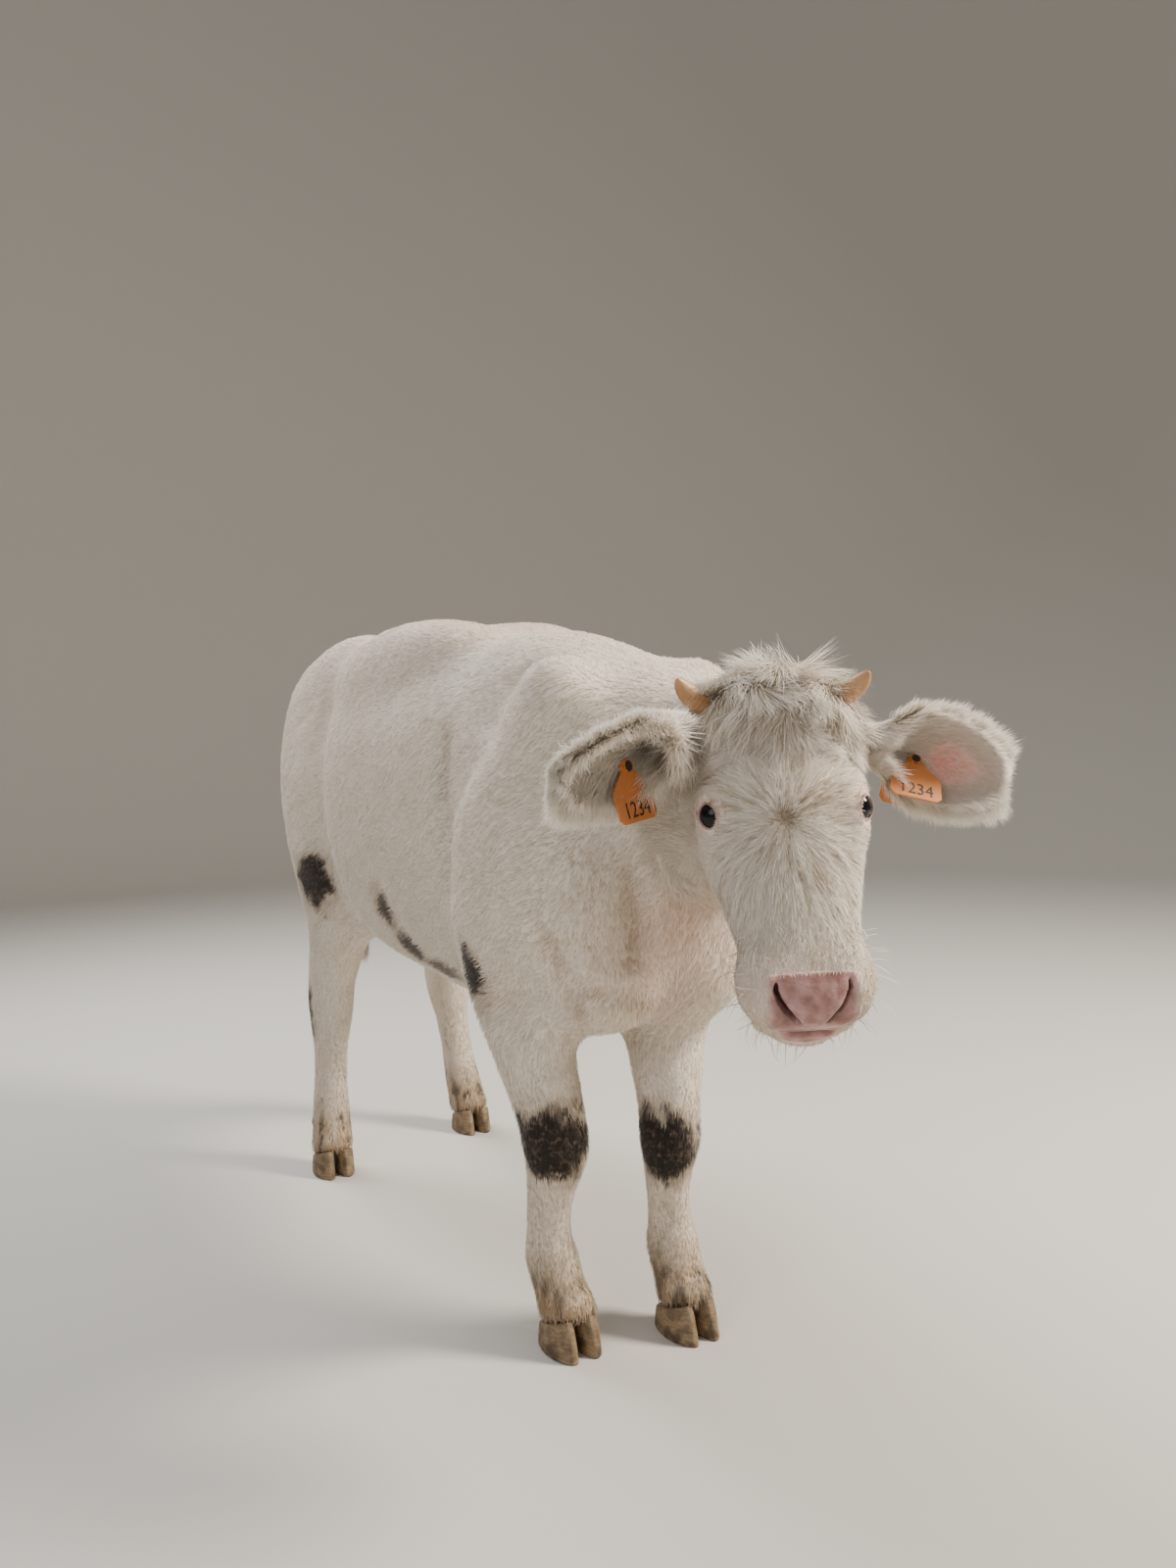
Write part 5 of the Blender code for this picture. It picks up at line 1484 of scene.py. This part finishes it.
def hair_length(zone, sizes):
    """Length of the tufts in each region, longest on the poll and shortest round the eyes."""
    local = zone["local"]
    long = sizes.body_hair * (1 + 0.20 * zone["belly"])
    long = long + (sizes.leg_hair - long) * zone["leg"]
    long = long * (1 + 0.5 * fall(zone["own"][:, 2], 0.060, 0.085))
    face = sizes.face_hair * (1.15 - 0.70 * ramp(local[:, 1], 0.24, 0.36))
    face = face * (1 - 0.62 * fall(eye_distance(local), 0.022, 0.045))
    face = face * (0.40 + 0.60 * ramp(away_from(local, WHORL), 0.003, 0.030))
    long = long + (face - long) * zone["head"]
    return long + (sizes.poll_hair - long) * zone["poll"]**1.4


def body_tufts(root, normal, sizes, rng, unwrap):
    """Everything that a tuft needs, from the region that it grows in."""
    zone = region(root)
    free = clear_of_features(zone["local"], zone, sizes)
    root, normal = root[free], normal[free]
    zone = {key: value[free] for key, value in zone.items()}
    local, head, poll, leg = (zone[key] for key in ("local", "head", "poll", "leg"))
    count = len(root)
    streak = streaks(zone, 30)
    way = coat_way(root, normal, zone)
    swirl = 0.30 * soft_noise(root, 0.06, 7) * (1 - 0.6 * head)
    swirl = swirl + (0.26 + 0.20 * head) * streaks(zone, 40)
    swirl = swirl + 1.1 * poll * soft_noise(root, 0.026, 17)
    way = turned_about(way, normal, swirl + rng.normal(0, 1, count) * (0.08 + 0.18 * poll))
    long = hair_length(zone, sizes)
    long = long * (0.75 + 0.5 * rng.random(count)) * (1 + 0.2 * soft_noise(root, 0.05, 12))
    crest = hump((local[:, 1] + 0.002) / 0.036) * poll
    lift = 0.30 + 0.04 * head + 0.12 * streak + 0.06 * rng.normal(0, 1, count)
    lift = np.clip(lift + 0.16 * poll + 0.36 * crest, 0.08, 1.25)
    wide = sizes.hair_width * (1 - 0.30 * head - 0.15 * leg - 0.05 * poll)
    dirt, stain = dirt_and_shade_at(root, local)
    tint = 0.64 + (0.30 + 0.35 * head) * streak + 0.12 * soft_noise(root, 0.03, 14)
    # Painted shade stands as dark strokes between the locks round the whorl, and painted shade
    # darkens its middle
    from_whorl = away_from(local, WHORL)
    spoke_shade = fall(streak, -0.60, 0.10) * hump(from_whorl / 0.060) * 0.75
    whorl = hump(from_whorl / WHORL_RADIUS)
    stain = np.maximum(stain, np.maximum(spoke_shade, whorl) * head)
    dirt = np.maximum(dirt, (0.22 * spoke_shade + 0.50 * whorl) * head)
    tint = tint + 0.16 * rng.normal(0, 1, count)
    lock = np.stack([soft_noise(root, 0.015, 50 + axis) for axis in range(3)], axis=1)
    sweep = rng.normal(0, 1, (count, 3)) * 0.04 + lock * (0.06 + 0.42 * poll)[:, None]
    sweep[:, 2] -= 0.05 + 0.06 * zone["belly"]
    return {
        "root": root, "normal": normal, "way": way, "length": long,
        "width": wide * (0.8 + 0.4 * rng.random(count)), "lift": lift,
        "bend": lift * (0.62 - 0.36 * crest), "twist": rng.normal(0, 0.30, count),
        "sweep": sweep * long[:, None], "dirt": dirt, "stain": stain,
        "flush": flush_at(root, local), "tint": np.clip(tint, 0, 1),
        "gloss": rng.normal(0, 0.26, count), "uv": map_places(root, unwrap),
        "head": head, "poll": poll, "leg": leg,
    }


def picked(tufts, mask):
    return {key: value[mask] for key, value in tufts.items()}


def add_coat(name, tufts, levels, kind="hair"):
    """Coat pieces from the tufts, none of them over the limit of triangles."""
    count = len(tufts["root"])
    parts = max(1, math.ceil(count * (2 * levels - 1) / PIECE_LIMIT))
    order = np.argsort(tufts["root"][:, 0] if parts > 1 else np.arange(count), kind="stable")
    for i, chosen in enumerate(np.array_split(order, parts)):
        label = name if parts == 1 else f"{name}_{i + 1}"
        piece = new_object(label, tuft_mesh(label, picked(tufts, chosen), levels))
        finished(piece, work[kind], False)


class CALF_OT_coat(bpy.types.Operator):
    """Tufts over the whole skin"""

    bl_idname = "calf.coat"
    bl_label = "Coat"

    def execute(self, context):
        sizes = context.scene.calf_sizes
        rng = np.random.default_rng(SEEDS["coat"])
        skin = work["skin"]
        unwrap = work["unwrap"] = coat_map(skin)
        places, triangles = mesh_arrays(skin.data)
        normals = vertex_normals(places, triangles)
        zone = region(places[triangles].mean(axis=1))
        density = DENSITY + LEG_EXTRA * zone["leg"] + TAIL_EXTRA * zone["tail"]
        for part, wanted in (("head", HEAD_DENSITY), ("poll", POLL_DENSITY)):
            density = density + (wanted - density) * zone[part]
        root, normal = scatter(places, triangles, normals, density, rng)
        tufts = body_tufts(root, normal, sizes, rng, unwrap)
        head = tufts["head"] > 0.5
        poll = tufts["poll"] > 0.3
        leg = tufts["leg"] > 0.5
        for name, mask, levels in (
            ("coat_poll", poll, 4), ("coat_face", head & ~poll, 2),
            ("coat_legs", leg & ~head & ~poll, 2), ("coat_body", ~leg & ~head & ~poll, 2),
        ):
            add_coat(name, picked(tufts, mask), levels)
        return {"FINISHED"}


class CALF_OT_ear_coat(bpy.types.Operator):
    """Short hair on the ears and the long fringe of their rims"""

    bl_idname = "calf.ear_coat"
    bl_label = "Ear coat"

    def execute(self, context):
        sizes = context.scene.calf_sizes
        rng = np.random.default_rng(SEEDS["ears"])
        for sign, side in SIDES:
            faces = [leaf_tufts(sign, sizes, rng, inner) for inner in (True, False)]
            leaf = {key: np.concatenate([part[key] for part in faces]) for key in faces[0]}
            for label, tufts, levels in (
                ("leaf", leaf, 2), ("fringe", fringe_tufts(sign, sizes, rng), 3),
            ):
                tufts["uv"] = map_places(tufts["root"], work["unwrap"])
                add_coat(f"coat_{label}_{side}", tufts, levels, "ear hair")
        return {"FINISHED"}


def common_tufts(root, normal, way, long, wide, lift, rng, flush):
    count = len(root)
    return {
        "root": root, "normal": normal, "way": way, "length": long,
        "width": wide * (0.8 + 0.4 * rng.random(count)), "lift": lift, "bend": lift * 0.5,
        "twist": rng.normal(0, 0.35, count),
        "sweep": rng.normal(0, 1, (count, 3)) * (long * 0.08)[:, None],
        "dirt": np.zeros(count), "stain": np.zeros(count), "flush": flush,
        "tint": np.clip(0.90 + 0.22 * rng.normal(0, 1, count), 0, 1),
        "gloss": rng.normal(0, 0.35, count),
    }


def leaf_tufts(sign, sizes, rng, inner):
    """Hair on one face of a leaf, thin in the pink middle of the left hollow."""
    count = LEAF_INNER if inner else LEAF_OUTER
    u, v = rng.random(count) * 0.99, rng.random(count) * 2 - 1
    here, normal, along, across = leaf_grid(sign, u, v, sizes)
    centre = ear_middle(u, v)
    bare = fall(centre, 0.45, 1.0) * (0.86 if sign > 0 else 0.0)
    dark = np.zeros(count)
    if inner:
        keep = rng.random(count) > bare
        outward = across * np.sign(v)[:, None]
        way = unit(along * 0.9 + outward * (0.15 + 0.9 * np.abs(v))[:, None])
        long = 0.013 + 0.012 * np.abs(v) + 0.012 * fall(u, 0.15, 0.55)
        lift = np.clip(0.42 + 0.14 * rng.normal(0, 1, count), 0.1, 0.9)
        if sign < 0:
            upper = 1 + 0.7 * ramp(v, 0.25, 0.75) * fall(u, 0.40, 0.65)
            long, lift = long * 1.35 * upper, lift * 1.30
        # Painted shade of the fold by the pin, carried on the hair
        dark = ear_fold_shade(sign, u, v) * 0.6
    else:
        keep = np.ones(count, bool)
        normal = -normal
        way = unit(along + across * (v * 0.35)[:, None])
        long = np.full(count, 0.017)
        lift = np.clip(0.34 + 0.08 * rng.normal(0, 1, count), 0.1, 0.9)
    turn = 0.45 * soft_noise(here, 0.014, 61) + rng.normal(0, 0.12, count)
    way = turned_about(way, normal, turn)
    long = long * (0.75 + 0.5 * rng.random(count))
    root = here + normal * (sizes.ear_wall / 2 - 0.0005)
    flush = np.where(inner, 0.30 * fall(centre, 0.6, 1.5) * (sign > 0), 0.02) + 0.02
    tufts = common_tufts(root, normal, way, long, sizes.hair_width * 0.75, lift, rng, flush)
    tufts["dirt"] = dark
    return picked(tufts, keep)


def fringe_tufts(sign, sizes, rng):
    """Long hair along the rim, leaning towards the tip."""
    count = FRINGE
    u = np.clip(0.04 + 0.96 * rng.random(count) ** 0.9, 0, 1)
    v = np.where(rng.random(count) < 0.5, -1.0, 1.0) * (1 - 0.16 * rng.random(count) ** 1.5)
    end = rng.random(count) < 0.24
    v = np.where(end, rng.random(count) * 2 - 1, v)
    u = np.where(end, 0.985 - 0.05 * rng.random(count) ** 1.5, u)
    here, normal, along, across = leaf_grid(sign, u, v, sizes)
    flat = np.tile(ear_frame(sign)[3], (count, 1))
    flat = flat * np.sign((flat * across).sum(axis=1, keepdims=True))
    outward = (across * 0.45 + flat * 0.85) * np.where(end, v, np.sign(v))[:, None]
    lean = np.where(end, 1.6, 0.40 + 0.5 * u)[:, None]
    way = unit(outward + along * lean)
    normal = unit(normal - way * dot(normal, way))
    flip = np.where(rng.random(count) < 0.5, -1.0, 1.0)[:, None]
    normal = normal * flip
    turn = 0.5 * soft_noise(here, 0.010, 71) + rng.normal(0, 0.14, count)
    way = turned_about(way, normal, turn)
    long = sizes.ear_hair * (0.55 + 0.6 * rng.random(count)) * (0.80 + 0.30 * u)
    fuller = (v < -0.5) | ((v > 0.5) & (u < 0.6))
    long = long * np.where(fuller & (sign < 0), 1.35, 1.0)
    # The tips stay near the locks of the solid ear
    low, high = (np.array(corner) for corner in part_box("ear_left" if sign > 0 else "ear_right"))
    room = np.where(way > 0, high + EAR_ROOM - here, here - low + EAR_ROOM)
    room = (room / np.maximum(np.abs(way), 0.001)).min(axis=1)
    long = np.minimum(long, np.maximum(room, 0.010))
    lift = np.abs(rng.normal(0, 0.26, count)) + 0.03
    flush = np.full(count, 0.02)
    tufts = common_tufts(here, normal, way, long, sizes.hair_width * 0.70, lift, rng, flush)
    tufts["sweep"] += np.array((0.0, 0.0, -0.12)) * long[:, None]
    return tufts


class CALF_OT_switch(bpy.types.Operator):
    """The long hair at the end of the tail"""

    bl_idname = "calf.switch"
    bl_label = "Switch"

    def execute(self, context):
        sizes = context.scene.calf_sizes
        rng = np.random.default_rng(SEEDS["switch"])
        count = SWITCH
        share = rng.random(count)
        centre = np.array((-0.0135, 0.637, 0.520)) + share[:, None] * (-0.003, -0.003, -0.085)
        angle = rng.random(count) * 2 * np.pi
        out = np.stack((np.cos(angle), np.sin(angle), 0 * angle), axis=1)
        root = centre + CENTRE + out * 0.0085
        way = np.tile((0.0, 0.0, -1.0), (count, 1)) + rng.normal(0, 0.06, (count, 3))
        way = unit(way - out * dot(way, out))
        long = sizes.switch_hair * (0.6 + 0.5 * rng.random(count)) * (1 - 0.25 * share)
        lift = 0.10 + 0.05 * rng.random(count)
        flush = np.full(count, 0.03)
        tufts = common_tufts(root, out, way, long, sizes.hair_width, lift, rng, flush)
        tufts["stain"] = np.clip(rng.normal(0.25, 0.12, count), 0, 1)
        tufts["bend"] = lift * 1.1
        tufts["sweep"] = rng.normal(0, 0.004, (count, 3))
        tufts["uv"] = map_places(root, work["unwrap"])
        add_coat("coat_switch", tufts, 5)
        return {"FINISHED"}


class CALF_OT_whiskers(bpy.types.Operator):
    """Whiskers on the muzzle and lashes on the upper lids"""

    bl_idname = "calf.whiskers"
    bl_label = "Whiskers"

    def execute(self, context):
        sizes = context.scene.calf_sizes
        rng = np.random.default_rng(SEEDS["whiskers"])
        places, triangles = mesh_arrays(work["skin"].data)
        normals = vertex_normals(places, triangles)
        local = to_head(places[triangles].mean(axis=1))
        where = (local[:, 1] > 0.285) & (np.abs(local[:, 2]) < 0.09) & (bare_nose(local) < 0.3)
        where &= (np.abs(local[:, 0]) > 0.046) | (local[:, 2] < -0.045)
        root, normal = scatter(places, triangles, normals, WHISKER_DENSITY * where, rng)
        count = len(root)
        way = np.tile(turned((0.0, 0.35, -0.25)), (count, 1)) + rng.normal(0, 0.30, (count, 3))
        way = unit(way - normal * dot(way, normal))
        long = 0.024 + 0.032 * rng.random(count) ** 1.5
        lift = 0.9 + 0.25 * rng.normal(0, 1, count)
        sets = [common_tufts(root, normal, way, long, 0.0010, lift, rng, np.zeros(count))]
        for sign, _ in SIDES:
            count = LASHES
            centre, aim, along, across = eye_frame(sign)
            angle = np.radians(15 + 150 * rng.random(count))
            edge = along * (sizes.eye_wide * np.cos(angle))[:, None]
            edge = edge + across * (sizes.eye_high * np.sin(angle))[:, None]
            high = np.sqrt((sizes.eye_radius + 0.002) ** 2 - (edge * edge).sum(axis=1))
            root = from_head(centre + edge * 1.06 + aim * high[:, None])
            out = turned(unit(edge + aim * 0.004))
            look = np.tile(turned(aim), (count, 1))
            way = unit(out - look * dot(out, look))
            long = 0.010 + 0.006 * rng.random(count)
            lift = 1.0 + 0.15 * rng.normal(0, 1, count)
            sets.append(common_tufts(root, look, way, long, 0.0006, lift, rng, np.zeros(count)))
        tufts = {key: np.concatenate([part[key] for part in sets]) for key in sets[0]}
        tufts["uv"] = map_places(tufts["root"], work["unwrap"])
        add_coat("coat_whiskers", tufts, 4)
        return {"FINISHED"}


# Stage


class CALF_OT_stage(bpy.types.Operator):
    """Pale studio floor, soft lights and the photo's camera"""

    bl_idname = "calf.stage"
    bl_label = "Stage"

    def execute(self, context):
        colours = context.scene.calf_colours
        scene = context.scene
        profile = [(1.0, 0.0), (FLOOR_RADIUS / 2, 0.0), (FLOOR_RADIUS, 0.0)]
        for k in range(1, 13):
            angle = math.pi / 2 * k / 12
            out, up = math.sin(angle), 1 - math.cos(angle)
            profile.append((FLOOR_RADIUS + WALL_CURVE * out, WALL_CURVE * up))
        profile += [(FLOOR_RADIUS + WALL_CURVE, height) for height in (5.0, WALL_HEIGHT)]
        bm = bmesh.new()
        loops = []
        for radius, height in profile:
            turns = [2 * math.pi * k / WALL_SIDES for k in range(WALL_SIDES)]
            points = [(radius * math.cos(t), radius * math.sin(t), height) for t in turns]
            loops.append([bm.verts.new(point) for point in points])
        for low, high in zip(loops[:-1], loops[1:]):
            for k in range(WALL_SIDES):
                j = (k + 1) % WALL_SIDES
                bm.faces.new((low[k], high[k], high[j], low[j]))
        bm.faces.new(loops[0])
        floor = new_object("studio_floor", mesh_from_bmesh("studio_floor", bm))
        floor.data.shade_smooth()
        floor.data.materials.append(plain_material("studio paper", colours.floor, 0.9))
        world = bpy.data.worlds.new("studio")
        scene.world = world
        world.use_nodes = True
        back = world.node_tree.nodes["Background"]
        back.inputs["Color"].default_value = rgba(to_linear(SKY))
        back.inputs["Strength"].default_value = SKY_STRENGTH
        for place, size, power, tint in LAMPS:
            light = bpy.data.lights.new("studio lamp", "AREA")
            light.shape = "DISK"
            light.size = size
            light.energy = power
            light.color = to_linear(tint)
            lamp = bpy.data.objects.new("studio lamp", light)
            scene.collection.objects.link(lamp)
            aim = LAMP_TARGET - Vector(place)
            turn = aim.to_track_quat("-Z", "Y").to_matrix().to_4x4()
            lamp.matrix_world = Matrix.Translation(place) @ turn
        scene.camera = photo_camera(scene)
        return {"FINISHED"}


def photo_camera(scene):
    """The photo's place, aim and lens."""
    roll = math.atan(HORIZON_SLOPE)
    pitch = math.atan(HORIZON_RISE * math.cos(roll) / PHOTO_FOCUS)
    up = np.array((0.0, 0.0, 1.0))
    ahead = CAMERA_AHEAD * math.cos(pitch) - up * math.sin(pitch)
    above = up * math.cos(pitch) + CAMERA_AHEAD * math.sin(pitch)
    across = CAMERA_RIGHT * math.cos(roll) + above * math.sin(roll)
    above = above * math.cos(roll) - CAMERA_RIGHT * math.sin(roll)
    data = bpy.data.cameras.new("photo camera")
    data.sensor_width = SENSOR
    data.lens = SENSOR * PHOTO_FOCUS / PHOTO_HEIGHT
    camera = bpy.data.objects.new("photo camera", data)
    scene.collection.objects.link(camera)
    matrix = Matrix([tuple(row) for row in np.stack((across, above, -ahead), axis=1)]).to_4x4()
    matrix.translation = Vector(CAMERA_AT)
    camera.matrix_world = matrix
    return camera


class CALF_PT_panel(bpy.types.Panel):
    """Sizes, colours and steps of the calf"""

    bl_label = "Calf"
    bl_idname = "CALF_PT_panel"
    bl_space_type = "VIEW_3D"
    bl_region_type = "UI"
    bl_category = "Calf"

    def draw(self, context):
        for step in STEPS:
            self.layout.operator(step.bl_idname)
        for group in (context.scene.calf_sizes, context.scene.calf_colours):
            for name in group.bl_rna.properties.keys():
                if name not in ("rna_type", "name"):
                    self.layout.prop(group, name)


STEPS = (
    CALF_OT_skin, CALF_OT_eyes, CALF_OT_horns, CALF_OT_claws, CALF_OT_ears, CALF_OT_tags,
    CALF_OT_coat, CALF_OT_ear_coat, CALF_OT_switch, CALF_OT_whiskers, CALF_OT_stage,
)
CLASSES = (CalfSizes, CalfColours, *STEPS, CALF_PT_panel)


def register():
    for kind in CLASSES:
        bpy.utils.register_class(kind)
    bpy.types.Scene.calf_sizes = bpy.props.PointerProperty(type=CalfSizes)
    bpy.types.Scene.calf_colours = bpy.props.PointerProperty(type=CalfColours)


def unregister():
    del bpy.types.Scene.calf_colours
    del bpy.types.Scene.calf_sizes
    for kind in reversed(CLASSES):
        bpy.utils.unregister_class(kind)


def main():
    register()
    for step in STEPS:
        area, name = step.bl_idname.split(".")
        getattr(getattr(bpy.ops, area), name)()


if __name__ == "__main__":
    main()
